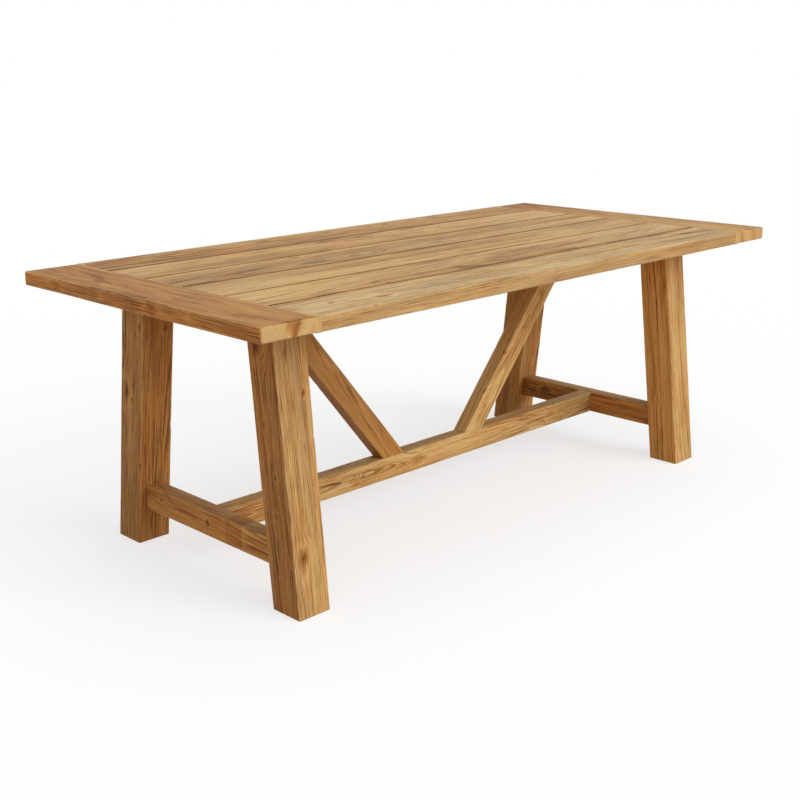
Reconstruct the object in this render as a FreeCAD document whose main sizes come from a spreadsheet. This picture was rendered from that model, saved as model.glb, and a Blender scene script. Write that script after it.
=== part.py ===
"""Trestle dining table in reclaimed teak: plank top with breadboard ends on two splayed trestles.

Frame: X along the table, Y across it, Z up, origin on the floor under the middle of the top.
Left is -X, front is -Y. Lengths are in millimetres.
"""
import FreeCAD, Part
import os
import re

import Sketcher

# Driving dimensions, each written once
SIZES = {
    # top
    "top_length": 2100,
    "top_width": 1000,
    "table_height": 770,
    "top_thickness": 38,
    "breadboard_width": 160,
    "seam_gap": 2,
    "plank_arris": 2.5,
    "edge_round": 4,
    "corner_round": 8,
    "tongue_length": 26,
    "tongue_thickness": 12,
    "spline_depth": 10,
    "spline_thickness": 8,
    "slip_width": 14,
    "slip_depth": 30,
    # trestles
    "leg_width": 100,
    "leg_depth": 100,
    "leg_setback": 182,
    "foot_place": 343,
    "head_place": 262,
    "leg_round": 4,
    "rail_setback": 23,
    "rail_thickness": 47,
    "rail_height": 60,
    "rail_clear": 105,
    "rail_round": 3,
    "bearer_thickness": 50,
    "bearer_height": 70,
    "tenon_length": 55,
    "tenon_thickness": 20,
    "tenon_shoulder": 10,
    # stretcher and braces
    "stretcher_width": 65,
    "brace_thickness": 60,
    "brace_foot_place": 175,
    "brace_head_setback": 138,
    "stub_length": 15,
    "stub_width": 40,
    "stub_thickness": 24,
    # battens under the top
    "batten_width": 120,
    "middle_batten_width": 90,
    "batten_setback": 100,
    "batten_thickness": 25,
    "batten_bevel": 10,
    # pegs, screws, bolts and plugs
    "peg_radius": 5,
    "peg_blind": 30,
    "screw_radius": 2.5,
    "screw_head_radius": 5,
    "screw_head_height": 3.5,
    "screw_grip": 16,
    "screw_bite": 28,
    "screw_pocket_radius": 6,
    "bearer_screw_margin": 60,
    "bolt_radius": 4,
    "bolt_length": 110,
    "bolt_head_radius": 7,
    "bolt_head_height": 6,
    "plug_radius": 9.5,
    "plug_thickness": 5,
    "plug_recess": 9,
    # fits
    "fit_clearance": 0.2,
    "end_clearance": 1,
    "cut_overrun": 5,
}
PLANKS = 6
FULL_TURN = 360
HALF_TURN = 180
QUARTER_TURN = 90
LONG_EDGE_SHARE = 0.5

doc = FreeCAD.newDocument("trestle_table")
sheet = doc.addObject("Spreadsheet::Sheet", "Sizes")
for row, (alias, number) in enumerate(SIZES.items(), start=1):
    sheet.set(f"A{row}", alias)
    sheet.set(f"B{row}", str(number))
    sheet.setAlias(f"B{row}", alias)
doc.recompute()

# Sizes that follow from the sheet, as formulas in its names
UNDERSIDE = "(table_height - top_thickness)"
SPAN = "(top_length - 2 * breadboard_width)"
PLANK_WIDTH = f"((top_width - {PLANKS - 1} * seam_gap) / {PLANKS})"
PLANK_PITCH = f"({PLANK_WIDTH} + seam_gap)"
TONGUE_LOW = "((top_thickness - tongue_thickness) / 2)"
TONGUE_HIGH = "((top_thickness + tongue_thickness) / 2)"
LEG_PLACE = "(top_length / 2 - leg_setback - leg_width / 2)"
LEAN = f"((foot_place - head_place) / {UNDERSIDE})"
RAIL_PLACE = "(top_length / 2 - leg_setback - rail_setback - rail_thickness / 2)"
RAIL_TOP = "(rail_clear + rail_height)"
RAIL_MIDDLE = "(rail_clear + rail_height / 2)"
RAIL_INNER = f"({RAIL_PLACE} - rail_thickness / 2)"
BEARER_LOW = f"({UNDERSIDE} - bearer_height)"
BATTEN_LOW = f"({UNDERSIDE} - batten_thickness)"
BATTEN_REACH = "(top_width / 2 - batten_setback)"
BRACE_HEAD = f"({LEG_PLACE} - leg_width / 2 - brace_head_setback)"
BRACE_RUN = f"({BRACE_HEAD} - brace_foot_place)"
BRACE_RISE = f"({BATTEN_LOW} - {RAIL_TOP})"
BRACE_CUT = f"(brace_thickness * sqrt(1 + pow({BRACE_RUN} / {BRACE_RISE}; 2)))"
PEG_HOLE = "(peg_radius + fit_clearance)"
SCREW_HOLE = "(screw_radius + fit_clearance)"
SCREW_REACH = "(screw_bite + end_clearance)"
TRESTLE_PEG_LENGTH = "(leg_width - peg_blind)"
BOLT_SEAT = f"({RAIL_PLACE} + rail_thickness / 2 - plug_recess - plug_thickness - bolt_head_height)"
BREADBOARD_PEG_LENGTH = f"(({TONGUE_HIGH} + top_thickness) / 2)"


def full(formula):
    """Write the sheet's names in a formula as references to its cells."""
    return re.sub(r"[a-z]+(?:_[a-z]+)+", r"Sizes.\g<0>", formula)


def value(formula):
    """The number that a formula gives now."""
    return float(sheet.evalExpression(full(formula)))


def bind(thing, path, formula):
    """Tie a property to the sheet."""
    thing.setExpression(path, full(formula))


def place(thing, x="0", y="0", z="0", turn=0, about=(0, 0, 1)):
    """Set a piece's placement: a fixed turn, and a position tied to the sheet."""
    thing.Placement = FreeCAD.Placement(
        FreeCAD.Vector(), FreeCAD.Rotation(FreeCAD.Vector(*about), turn))
    for axis, formula in zip("xyz", (x, y, z)):
        bind(thing, f"Placement.Base.{axis}", formula)


def box(low_x, high_x, low_y, high_y):
    """Corners of an upright rectangle in a sketch."""
    return [(low_x, low_y), (high_x, low_y), (high_x, high_y), (low_x, high_y)]


def draw_outline(sketch, corners):
    """Draw a closed outline of straight lines, with both coordinates of each corner tied to the sheet."""
    points = [FreeCAD.Vector(value(x), value(y), 0) for x, y in corners]
    first = sketch.GeometryCount
    count = len(points)
    for index in range(count):
        sketch.addGeometry(Part.LineSegment(points[index], points[(index + 1) % count]))
    for index in range(count):
        following = first + (index + 1) % count
        sketch.addConstraint(Sketcher.Constraint("Coincident", first + index, 2, following, 1))
    for index, (corner, point) in enumerate(zip(corners, points)):
        tie_point(sketch, first + index, 1, corner, point)


def draw_circle(sketch, centre, radius):
    """Draw a circle whose centre and radius are tied to the sheet."""
    point = FreeCAD.Vector(value(centre[0]), value(centre[1]), 0)
    index = sketch.addGeometry(Part.Circle(point, FreeCAD.Vector(0, 0, 1), value(radius)))
    size = sketch.addConstraint(Sketcher.Constraint("Radius", index, value(radius)))
    bind(sketch, f"Constraints[{size}]", radius)
    tie_point(sketch, index, 3, centre, point)


def tie_point(sketch, index, end, corner, point):
    """Fix one end of a sketch element by its distances from the sketch's origin."""
    for kind, formula, distance in (("DistanceX", corner[0], point.x), ("DistanceY", corner[1], point.y)):
        tie = sketch.addConstraint(Sketcher.Constraint(kind, -1, 1, index, end, distance))
        bind(sketch, f"Constraints[{tie}]", formula)


def new_body(label):
    """An empty body for one piece."""
    return doc.addObject("PartDesign::Body", label)


def new_sketch(body, plane, height="0", outlines=(), circles=()):
    """A sketch on one of the body's origin planes, moved along the plane's normal by height."""
    sketch = body.newObject("Sketcher::SketchObject", f"{body.Name}_sketch")
    support = next(item for item in body.Origin.OriginFeatures if item.Role == plane)
    sketch.AttachmentSupport = [(support, "")]
    sketch.MapMode = "FlatFace"
    bind(sketch, "AttachmentOffset.Base.z", height)
    for corners in outlines:
        draw_outline(sketch, corners)
    for centre, radius in circles:
        draw_circle(sketch, centre, radius)
    return sketch


def prism(body, kind, plane, start, end, outlines=(), circles=()):
    """Add (Pad) or take away (Pocket) a prism between two positions along the plane's axis."""
    sign = "-" if plane == "XZ_Plane" else ""
    sketch = new_sketch(body, plane, f"{sign}(({start}) + ({end})) / 2", outlines, circles)
    before = body.Shape.Volume if body.Tip else 0
    feature = body.newObject(f"PartDesign::{kind}", f"{body.Name}_{kind.lower()}")
    feature.Profile = sketch
    feature.SideType = "Symmetric"
    bind(feature, "Length", f"({end}) - ({start})")
    doc.recompute()
    changed = body.Shape.Volume - before
    if (changed <= 0) if kind == "Pad" else (changed >= 0):
        raise ValueError(f"{feature.Name} changes nothing")
    return feature


def pad(body, plane, start, end, *outlines):
    """Add a prism with straight outlines."""
    return prism(body, "Pad", plane, start, end, outlines)


def cut(body, plane, start, end, *outlines):
    """Take away a prism with straight outlines."""
    return prism(body, "Pocket", plane, start, end, outlines)


def bore(body, plane, start, end, radius, *centres):
    """Take away round holes of one radius."""
    return prism(body, "Pocket", plane, start, end, circles=[(centre, radius) for centre in centres])


def ease_edges(body, radius, wanted):
    """Round the edges of the body's last feature that the test function picks."""
    base = body.Tip
    names = [f"Edge{index}" for index, edge in enumerate(base.Shape.Edges, start=1) if wanted(edge.BoundBox)]
    fillet = body.newObject("PartDesign::Fillet", f"{body.Name}_fillet")
    fillet.Base = (base, names)
    bind(fillet, "Radius", radius)
    doc.recompute()


def ease_along(body, radius, axis):
    """Round the edges that cross most of a bar along one axis."""
    side = f"{axis.upper()}Length"
    least = getattr(body.Tip.Shape.BoundBox, side) * LONG_EDGE_SHARE
    ease_edges(body, radius, lambda bounds: getattr(bounds, side) > least)


def revolve(label, corners):
    """A turned piece: a half outline in XZ, turned about Z."""
    body = new_body(label)
    sketch = new_sketch(body, "XZ_Plane", outlines=[corners])
    turned = body.newObject("PartDesign::Revolution", f"{label}_turned")
    turned.Profile = sketch
    turned.ReferenceAxis = (sketch, ["V_Axis"])
    turned.Angle = FULL_TURN
    doc.recompute()
    return body


def group(label, members):
    """One node of separate solids."""
    compound = doc.addObject("Part::Compound", label)
    compound.Links = members
    return compound


def copies(label, original, places, turn=0, about=(0, 0, 1)):
    """A group of copies of one modelled piece, at the places given as formulas."""
    members = []
    for x, y, z in places:
        member = doc.addObject("App::Link", f"{label}_copy")
        member.LinkedObject = original
        place(member, x, y, z, turn, about)
        members.append(member)
    return group(label, members)


def dowels(label, radius, length, places, turn=0, about=(0, 0, 1)):
    """A group of round pegs, each standing on its place before it is turned."""
    members = []
    for x, y, z in places:
        peg = doc.addObject("Part::Cylinder", f"{label}_peg")
        bind(peg, "Radius", radius)
        bind(peg, "Height", length)
        place(peg, x, y, z, turn, about)
        members.append(peg)
    return group(label, members)


def leg_line(height):
    """How far the leg's centre line stands from the table's middle plane at a height."""
    return f"(foot_place - {LEAN} * ({height}))"


def leg_inner(height):
    """How far the leg's inner face stands from the table's middle plane at a height."""
    return f"({leg_line(height)} - leg_depth / 2)"


def plank_middle(row):
    """Position of a plank's centre line across the table."""
    return f"(({row} - {(PLANKS - 1) / 2}) * {PLANK_PITCH})"


def batten_screw_rows():
    """Screw positions across the table: one in each plank, the outer ones midway from seam to batten end."""
    rows = [plank_middle(row) for row in range(1, PLANKS - 1)]
    outer = f"(({PLANKS / 2 - 1} * {PLANK_PITCH} + {BATTEN_REACH}) / 2)"
    return [f"-{outer}", *rows, outer]


def bearer_screw_rows():
    """Screw positions across the table in the bearers."""
    outer = f"({leg_inner(UNDERSIDE)} - bearer_screw_margin)"
    return [f"-{outer}", plank_middle(2), plank_middle(3), outer]


BATTENS = {"left": f"-{BRACE_HEAD}", "middle": "0", "right": BRACE_HEAD}
SIDES = {"left": "-", "right": ""}
FACES = {"front": "-", "back": ""}


def make_plank(row):
    """A top plank: grooved and eased along its edges, tongued at both ends, bored for pegs and screws."""
    body = new_body(f"top_plank_{row + 1}")
    half = f"({PLANK_WIDTH} / 2)"
    groove_low = "((top_thickness - spline_thickness) / 2 - fit_clearance)"
    groove_high = "((top_thickness + spline_thickness) / 2 + fit_clearance)"

    def edge(sign, grooved):
        """Corners up one long edge, from the underside to the top."""
        side = f"{sign}{half}"
        inset = f"{sign}({half} - plank_arris)"
        bottom = f"{sign}({half} - spline_depth)"
        points = [(inset, "0"), (side, "plank_arris")]
        if grooved:
            points += [(side, groove_low), (bottom, groove_low), (bottom, groove_high), (side, groove_high)]
        return points + [(side, "top_thickness - plank_arris"), (inset, "top_thickness")]

    back_edge = edge("", row < PLANKS - 1)
    front_edge = edge("-", row > 0)
    reach = f"({SPAN} / 2 + tongue_length)"
    pad(body, "YZ_Plane", f"-{reach}", reach, back_edge + front_edge[::-1])
    shoulder = f"({SPAN} / 2)"
    past = f"({reach} + cut_overrun)"
    rebates = []
    for low, high in (("-cut_overrun", TONGUE_LOW), (TONGUE_HIGH, "top_thickness + cut_overrun")):
        rebates += [box(shoulder, past, low, high), box(f"-{past}", f"-{shoulder}", low, high)]
    cut(body, "XZ_Plane", "-top_width", "top_width", *rebates)
    if row in (0, PLANKS - 1):
        sign = "-" if row == 0 else ""
        notch_start = f"({shoulder} - slip_width)"
        notch_low = f"{sign}({half} - slip_depth)"
        notch_high = f"{sign}({half} + cut_overrun)"
        cut(body, "XY_Plane", "-cut_overrun", "top_thickness + cut_overrun",
            box(notch_start, past, notch_low, notch_high),
            box(f"-{past}", f"-{notch_start}", notch_low, notch_high))
    peg_place = f"({shoulder} + tongue_length / 2)"
    bore(body, "XY_Plane", "0", "top_thickness", PEG_HOLE, (peg_place, "0"), (f"-{peg_place}", "0"))
    across = plank_middle(row)
    screw_row = f"({batten_screw_rows()[row]} - {across})"
    holes = [(along, screw_row) for along in BATTENS.values()]
    for line in bearer_screw_rows():
        if abs(value(line) - value(across)) < value(half):
            holes += [(f"{sign}{LEG_PLACE}", f"({line} - {across})") for sign in SIDES.values()]
    bore(body, "XY_Plane", "-cut_overrun", SCREW_REACH, SCREW_HOLE, *holes)
    place(body, y=across, z=UNDERSIDE)
    return body


def make_breadboard(side):
    """A breadboard end: rounded at its outer edges, with a stopped groove for the planks' tongues."""
    body = new_body(f"breadboard_{side}")
    half = "top_width / 2"
    pad(body, "XY_Plane", "0", "top_thickness", box("0", "breadboard_width", f"-{half}", half))
    middle = value("breadboard_width") / 2
    upright = value("top_thickness") * LONG_EDGE_SHARE
    ease_edges(body, "corner_round", lambda bounds: bounds.ZLength > upright and bounds.XMin > middle)
    ease_edges(body, "edge_round", lambda bounds: bounds.ZLength < upright and bounds.XMax > middle)
    groove_end = f"({half} - slip_depth)"
    cut(body, "XY_Plane", f"{TONGUE_LOW} - fit_clearance", f"{TONGUE_HIGH} + fit_clearance",
        box("-cut_overrun", "tongue_length + end_clearance", f"-{groove_end}", groove_end))
    pegs = [("tongue_length / 2", plank_middle(row)) for row in range(PLANKS)]
    bore(body, "XY_Plane", "-cut_overrun", BREADBOARD_PEG_LENGTH, PEG_HOLE, *pegs)
    sign = SIDES[side]
    place(body, x=f"{sign}{SPAN} / 2", z=UNDERSIDE, turn=HALF_TURN if side == "left" else 0)
    return body


def make_spline(seam):
    """A loose spline in the grooves of two neighbouring planks."""
    body = new_body(f"plank_spline_{seam}")
    half = "(spline_depth + seam_gap / 2 - fit_clearance)"
    length = f"({SPAN} / 2 - fit_clearance)"
    pad(body, "YZ_Plane", f"-{length}", length,
        box(f"-{half}", half, "-spline_thickness / 2", "spline_thickness / 2"))
    place(body, y=f"({seam - 1} - {(PLANKS - 2) / 2}) * {PLANK_PITCH}", z=f"{UNDERSIDE} + top_thickness / 2")
    return body


def make_slips():
    """Small slips that close the ends of the breadboard joints at the table's long edges."""
    original = new_body("joint_slip")
    pad(original, "XY_Plane", "0", "top_thickness",
        box("-slip_width / 2", "slip_width / 2", "-slip_depth / 2", "slip_depth / 2"))
    along = f"({SPAN} / 2 - slip_width / 2)"
    across = "(top_width / 2 - slip_depth / 2)"
    places = [(f"{sx}{along}", f"{sy}{across}", UNDERSIDE) for sx in SIDES.values() for sy in FACES.values()]
    return copies("joint_slips", original, places)


def make_batten(side):
    """A batten under the planks, bevelled at its ends, with pockets for its screws."""
    body = new_body(f"top_batten_{side}")
    width = "middle_batten_width" if side == "middle" else "batten_width"
    bevelled = f"({BATTEN_REACH} - batten_bevel)"
    pad(body, "YZ_Plane", f"-{width} / 2", f"{width} / 2",
        [(f"-{bevelled}", "0"), (bevelled, "0"), (BATTEN_REACH, "batten_bevel"),
         (BATTEN_REACH, "batten_thickness"), (f"-{BATTEN_REACH}", "batten_thickness"),
         (f"-{BATTEN_REACH}", "batten_bevel")])
    rows = [("0", row) for row in batten_screw_rows()]
    bore(body, "XY_Plane", "-cut_overrun", "batten_thickness + cut_overrun", SCREW_HOLE, *rows)
    bore(body, "XY_Plane", "-cut_overrun", "batten_thickness - screw_grip", "screw_pocket_radius", *rows)
    if side != "middle":
        long = "(stub_width / 2 + fit_clearance)"
        wide = "(stub_thickness / 2 + fit_clearance)"
        cut(body, "XY_Plane", "-cut_overrun", "stub_length + end_clearance",
            box(f"-{long}", long, f"-{wide}", wide))
    place(body, x=BATTENS[side], z=BATTEN_LOW)
    return body


def tenon_box(sign, low, high, gap="0", end_gap="0"):
    """Outline in YZ of a tenon that enters a leg, or with gaps of its mortise."""
    middle = f"(({low}) + ({high})) / 2"
    root = f"{sign}({leg_inner(middle)} - tenon_length)"
    tip = f"{sign}({leg_inner(middle)} + tenon_length + {end_gap})"
    return box(root, tip, f"({low}) + tenon_shoulder - {gap}", f"({high}) - tenon_shoulder + {gap}")


def peg_centre(sign, low, high):
    """Where a peg crosses a tenon, in YZ."""
    middle = f"(({low}) + ({high})) / 2"
    return f"{sign}({leg_inner(middle)} + tenon_length / 2)", middle


CROSSPIECES = ((BEARER_LOW, UNDERSIDE), ("rail_clear", RAIL_TOP))


def make_leg(side, face):
    """A square leg that leans in, cut level at foot and head, and mortised for rail and bearer."""
    body = new_body(f"leg_{side}_{face}")
    sy = FACES[face]
    outer = "leg_depth / 2"
    half = "(leg_width / 2)"
    pad(body, "YZ_Plane", f"-{half}", half,
        [(f"{sy}(foot_place - {outer})", "0"), (f"{sy}(foot_place + {outer})", "0"),
         (f"{sy}(head_place + {outer})", UNDERSIDE), (f"{sy}(head_place - {outer})", UNDERSIDE)])
    ease_along(body, "leg_round", "z")
    thick = "(tenon_thickness / 2 + fit_clearance)"
    offsets = ("0", f"{SIDES[side]}({RAIL_PLACE} - {LEG_PLACE})")
    for (low, high), offset in zip(CROSSPIECES, offsets):
        cut(body, "YZ_Plane", f"{offset} - {thick}", f"{offset} + {thick}",
            tenon_box(sy, low, high, "fit_clearance", "end_clearance"))
        bore(body, "YZ_Plane", f"{half} - {TRESTLE_PEG_LENGTH}", f"{half} + cut_overrun", PEG_HOLE,
             peg_centre(sy, low, high))
    place(body, x=f"{SIDES[side]}{LEG_PLACE}")
    return body


def make_crosspiece(label, low, high, thickness, round_edges):
    """A bar between the two legs of a trestle, with shoulders cut to the legs' lean and pegged tenons."""
    body = new_body(label)
    half = f"({thickness} / 2)"
    pad(body, "YZ_Plane", f"-{half}", half,
        [(f"-{leg_inner(low)}", low), (leg_inner(low), low),
         (leg_inner(high), high), (f"-{leg_inner(high)}", high)])
    if round_edges:
        ease_along(body, "rail_round", "y")
    thick = "(tenon_thickness / 2)"
    pad(body, "YZ_Plane", f"-{thick}", thick, *[tenon_box(sign, low, high) for sign in FACES.values()])
    bore(body, "YZ_Plane", f"-{half} - cut_overrun", f"{half} + cut_overrun", PEG_HOLE,
         *[peg_centre(sign, low, high) for sign in FACES.values()])
    return body


def make_bearer(side):
    """A bearer between the legs' heads, screwed up into the planks through deep pockets."""
    body = make_crosspiece(f"top_bearer_{side}", BEARER_LOW, UNDERSIDE, "bearer_thickness", False)
    rows = [("0", row) for row in bearer_screw_rows()]
    bore(body, "XY_Plane", f"{BEARER_LOW} - cut_overrun", f"{UNDERSIDE} + cut_overrun", SCREW_HOLE, *rows)
    bore(body, "XY_Plane", f"{BEARER_LOW} - cut_overrun", f"{UNDERSIDE} - screw_grip",
         "screw_pocket_radius", *rows)
    place(body, x=f"{SIDES[side]}{LEG_PLACE}")
    return body


def make_rail(side):
    """A low cross rail: mortised inside for the stretcher, counterbored outside for its bolt and plug."""
    body = make_crosspiece(f"cross_rail_{side}", "rail_clear", RAIL_TOP, "rail_thickness", True)
    sign = SIDES[side]
    wide = "(stub_thickness / 2 + fit_clearance)"
    tall = "(rail_height / 2 - tenon_shoulder + fit_clearance)"
    mouth = "(rail_thickness / 2 + cut_overrun)"
    bottom = "(rail_thickness / 2 - stub_length - end_clearance)"
    mortise = (f"-{mouth}", f"-{bottom}") if side == "right" else (bottom, mouth)
    cut(body, "YZ_Plane", *mortise,
        box(f"-{wide}", wide, f"{RAIL_MIDDLE} - {tall}", f"{RAIL_MIDDLE} + {tall}"))
    seat = f"({BOLT_SEAT} - {RAIL_PLACE})"
    recess = (seat, mouth) if side == "right" else (f"-{mouth}", f"-{seat}")
    centre = ("0", RAIL_MIDDLE)
    bore(body, "YZ_Plane", *recess, "plug_radius + fit_clearance", centre)
    bore(body, "YZ_Plane", f"-{mouth}", mouth, "bolt_radius + fit_clearance", centre)
    place(body, x=f"{sign}{RAIL_PLACE}")
    return body


def make_stretcher():
    """The long stretcher: stub tenons in the rails, mortises for the braces, bored for bolts and screws."""
    body = new_body("long_stretcher")
    half = "(stretcher_width / 2)"
    pad(body, "YZ_Plane", f"-{RAIL_INNER}", RAIL_INNER, box(f"-{half}", half, "rail_clear", RAIL_TOP))
    ease_along(body, "rail_round", "x")
    reach = f"({RAIL_INNER} + stub_length)"
    thick = "(stub_thickness / 2)"
    pad(body, "XZ_Plane", f"-{thick}", thick,
        box(f"-{reach}", reach, "rail_clear + tenon_shoulder", f"{RAIL_TOP} - tenon_shoulder"))
    long = "(stub_width / 2 + fit_clearance)"
    wide = f"({thick} + fit_clearance)"
    floor = f"({RAIL_TOP} - stub_length - end_clearance)"
    feet = ("-brace_foot_place", "brace_foot_place")
    cut(body, "XY_Plane", floor, f"{RAIL_TOP} + cut_overrun",
        *[box(f"{foot} - {long}", f"{foot} + {long}", f"-{wide}", wide) for foot in feet])
    centres = [(foot, "0") for foot in feet]
    bore(body, "XY_Plane", "rail_clear - cut_overrun", f"{floor} + cut_overrun", SCREW_HOLE, *centres)
    bore(body, "XY_Plane", "rail_clear - cut_overrun", f"{floor} - screw_grip",
         "screw_pocket_radius", *centres)
    start = f"({BOLT_SEAT} - bolt_length - end_clearance)"
    for low, high in ((start, f"{reach} + cut_overrun"), (f"-{reach} - cut_overrun", f"-{start}")):
        bore(body, "YZ_Plane", low, high, "bolt_radius + fit_clearance", ("0", RAIL_MIDDLE))
    return body


def make_brace(side):
    """A brace from the stretcher to a batten, cut level at both ends, with a stub tenon at each."""
    body = new_body(f"brace_{side}")
    half = f"({BRACE_CUT} / 2)"
    width = "(stretcher_width / 2)"
    pad(body, "XZ_Plane", f"-{width}", width,
        [(f"brace_foot_place - {half}", RAIL_TOP), (f"brace_foot_place + {half}", RAIL_TOP),
         (f"{BRACE_HEAD} + {half}", BATTEN_LOW), (f"{BRACE_HEAD} - {half}", BATTEN_LOW)])
    ease_along(body, "rail_round", "z")
    thick = "(stub_thickness / 2)"
    stubs = []
    for middle, low, high in (("brace_foot_place", f"{RAIL_TOP} - stub_length", RAIL_TOP),
                              (BRACE_HEAD, BATTEN_LOW, f"{BATTEN_LOW} + stub_length")):
        stubs.append(box(f"{middle} - stub_width / 2", f"{middle} + stub_width / 2", low, high))
    pad(body, "XZ_Plane", f"-{thick}", thick, *stubs)
    foot = f"({RAIL_TOP} - stub_length)"
    bore(body, "XY_Plane", f"{foot} - cut_overrun", f"{foot} + {SCREW_REACH}", SCREW_HOLE,
         ("brace_foot_place", "0"))
    place(body, turn=HALF_TURN if side == "left" else 0)
    return body


def make_screws():
    """Wood screws that point up: under the battens, the bearers and the stretcher."""
    screw = revolve("wood_screw", [
        ("0", "-screw_head_height"), ("screw_head_radius", "-screw_head_height"), ("screw_head_radius", "0"),
        ("screw_radius", "0"), ("screw_radius", "screw_grip + screw_bite"), ("0", "screw_grip + screw_bite")])
    seat = f"{UNDERSIDE} - screw_grip"
    batten_places = [(along, row, seat) for along in BATTENS.values() for row in batten_screw_rows()]
    bearer_places = [(f"{sign}{LEG_PLACE}", row, seat)
                     for sign in SIDES.values() for row in bearer_screw_rows()]
    foot_seat = f"{RAIL_TOP} - stub_length - end_clearance - screw_grip"
    brace_places = [(f"{sign}brace_foot_place", "0", foot_seat) for sign in SIDES.values()]
    return [copies("batten_screws", screw, batten_places),
            copies("bearer_screws", screw, bearer_places),
            copies("brace_screws", screw, brace_places)]


def make_pegs():
    """Blind pegs in the breadboards, and pegs through the trestles' tenons, driven from the right."""
    along = f"({SPAN} / 2 + tongue_length / 2)"
    places = [(f"{sign}{along}", plank_middle(row), UNDERSIDE)
              for sign in SIDES.values() for row in range(PLANKS)]
    nodes = [dowels("breadboard_pegs", "peg_radius", BREADBOARD_PEG_LENGTH, places)]
    for label, (low, high) in zip(("bearer_pegs", "rail_pegs"), CROSSPIECES):
        places = []
        for sx in SIDES.values():
            for sy in FACES.values():
                across, height = peg_centre(sy, low, high)
                places.append((f"{sx}{LEG_PLACE} + leg_width / 2 - {TRESTLE_PEG_LENGTH}", across, height))
        nodes.append(dowels(label, "peg_radius", TRESTLE_PEG_LENGTH, places, QUARTER_TURN, (0, 1, 0)))
    return nodes


def make_bolts():
    """Bolts from the rails into the stretcher's ends, and the wooden plugs over their heads."""
    bolt = revolve("stretcher_bolt", [
        ("0", "-bolt_head_height"), ("bolt_head_radius", "-bolt_head_height"), ("bolt_head_radius", "0"),
        ("bolt_radius", "0"), ("bolt_radius", "bolt_length"), ("0", "bolt_length")])
    members = []
    for sign, turn in (("", -QUARTER_TURN), ("-", QUARTER_TURN)):
        member = doc.addObject("App::Link", "stretcher_bolt_copy")
        member.LinkedObject = bolt
        place(member, f"{sign}{BOLT_SEAT}", "0", RAIL_MIDDLE, turn, (0, 1, 0))
        members.append(member)
    bottom = f"({BOLT_SEAT} + bolt_head_height)"
    starts = [(bottom, "0", RAIL_MIDDLE), (f"-({bottom} + plug_thickness)", "0", RAIL_MIDDLE)]
    plugs = dowels("bolt_plugs", "plug_radius", "plug_thickness", starts, QUARTER_TURN, (0, 1, 0))
    return [group("stretcher_bolts", members), plugs]


pieces = [make_plank(row) for row in range(PLANKS)]
pieces += [make_breadboard(side) for side in SIDES]
pieces += [make_spline(seam) for seam in range(1, PLANKS)]
pieces += [make_slips()]
pieces += [make_batten(side) for side in BATTENS]
pieces += [make_leg(side, face) for side in SIDES for face in FACES]
pieces += [make_bearer(side) for side in SIDES]
pieces += [make_rail(side) for side in SIDES]
pieces += [make_stretcher()]
pieces += [make_brace(side) for side in SIDES]
pieces += make_screws() + make_pegs() + make_bolts()
doc.recompute()

for item in doc.Objects:
    if {"Invalid", "Error"} & set(item.State):
        raise ValueError(f"{item.Label} failed")
for piece in pieces:
    if piece.Shape.isNull() or not piece.Shape.isValid():
        raise ValueError(f"{piece.Label} is not a valid solid")

os.makedirs("parts", exist_ok=True)
for piece in pieces:
    piece.Shape.exportStep(f"parts/{piece.Label}.step")
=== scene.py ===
"""Trestle dining table of reclaimed teak: worn boards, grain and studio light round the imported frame."""
import math
from dataclasses import dataclass

import bpy
import numpy as np
from mathutils import Matrix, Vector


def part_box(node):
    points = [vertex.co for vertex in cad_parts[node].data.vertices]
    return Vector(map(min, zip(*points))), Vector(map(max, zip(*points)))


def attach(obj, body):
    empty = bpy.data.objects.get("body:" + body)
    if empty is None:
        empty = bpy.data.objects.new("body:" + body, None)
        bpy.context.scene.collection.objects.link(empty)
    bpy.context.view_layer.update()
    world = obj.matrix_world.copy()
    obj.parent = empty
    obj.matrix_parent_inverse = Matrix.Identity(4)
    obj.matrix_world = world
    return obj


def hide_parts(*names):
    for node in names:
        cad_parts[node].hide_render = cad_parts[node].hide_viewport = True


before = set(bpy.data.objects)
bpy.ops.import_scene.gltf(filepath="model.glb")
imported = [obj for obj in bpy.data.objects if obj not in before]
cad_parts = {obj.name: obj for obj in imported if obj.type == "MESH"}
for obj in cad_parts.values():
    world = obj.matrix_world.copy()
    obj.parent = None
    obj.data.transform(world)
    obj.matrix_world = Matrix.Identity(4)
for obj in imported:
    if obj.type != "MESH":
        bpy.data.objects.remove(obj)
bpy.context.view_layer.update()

PLANKS = 6
SIDES = {"left": -1, "right": 1}

# Sizes in metres that the frame's boxes do not give. A section is thickness and height, or depth for a brace
SKIN = 0.0003
RAIL_SECTION = (0.050, 0.068)
RAIL_TENON = 0.055
RAIL_HOUSED = 0.010
STRETCHER_SECTION = (0.048, 0.068)
BRACE_SECTION = (0.067, 0.048)
BRACE_THICKNESS = 0.060
BRACE_FOOT = 0.175
SLIP_WIDTH = 0.014
SLIP_DEPTH = 0.030
SLIP_GAP = 0.0003
PLUG_RADIUS = 0.0097
PLUG_DEPTH = 0.014
POCKET_RADIUS = 0.006
POCKET_DEPTH = 0.028
CUT_PAST = 0.004

# Radii of the arrises, and of the ends' rounding across and through a board
PLANK_ARRIS = 0.0028
PLANK_END = (0.0014, 0.0014)
BREADBOARD_OUTER = 0.0042
BREADBOARD_INNER = 0.0010
BREADBOARD_END = (0.0075, 0.0035)
LEG_ARRIS = 0.0030
LEG_END = (0.0022, 0.0022)
TIMBER_ARRIS = 0.0032
TIMBER_END = (0.0005, 0.0005)

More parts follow.
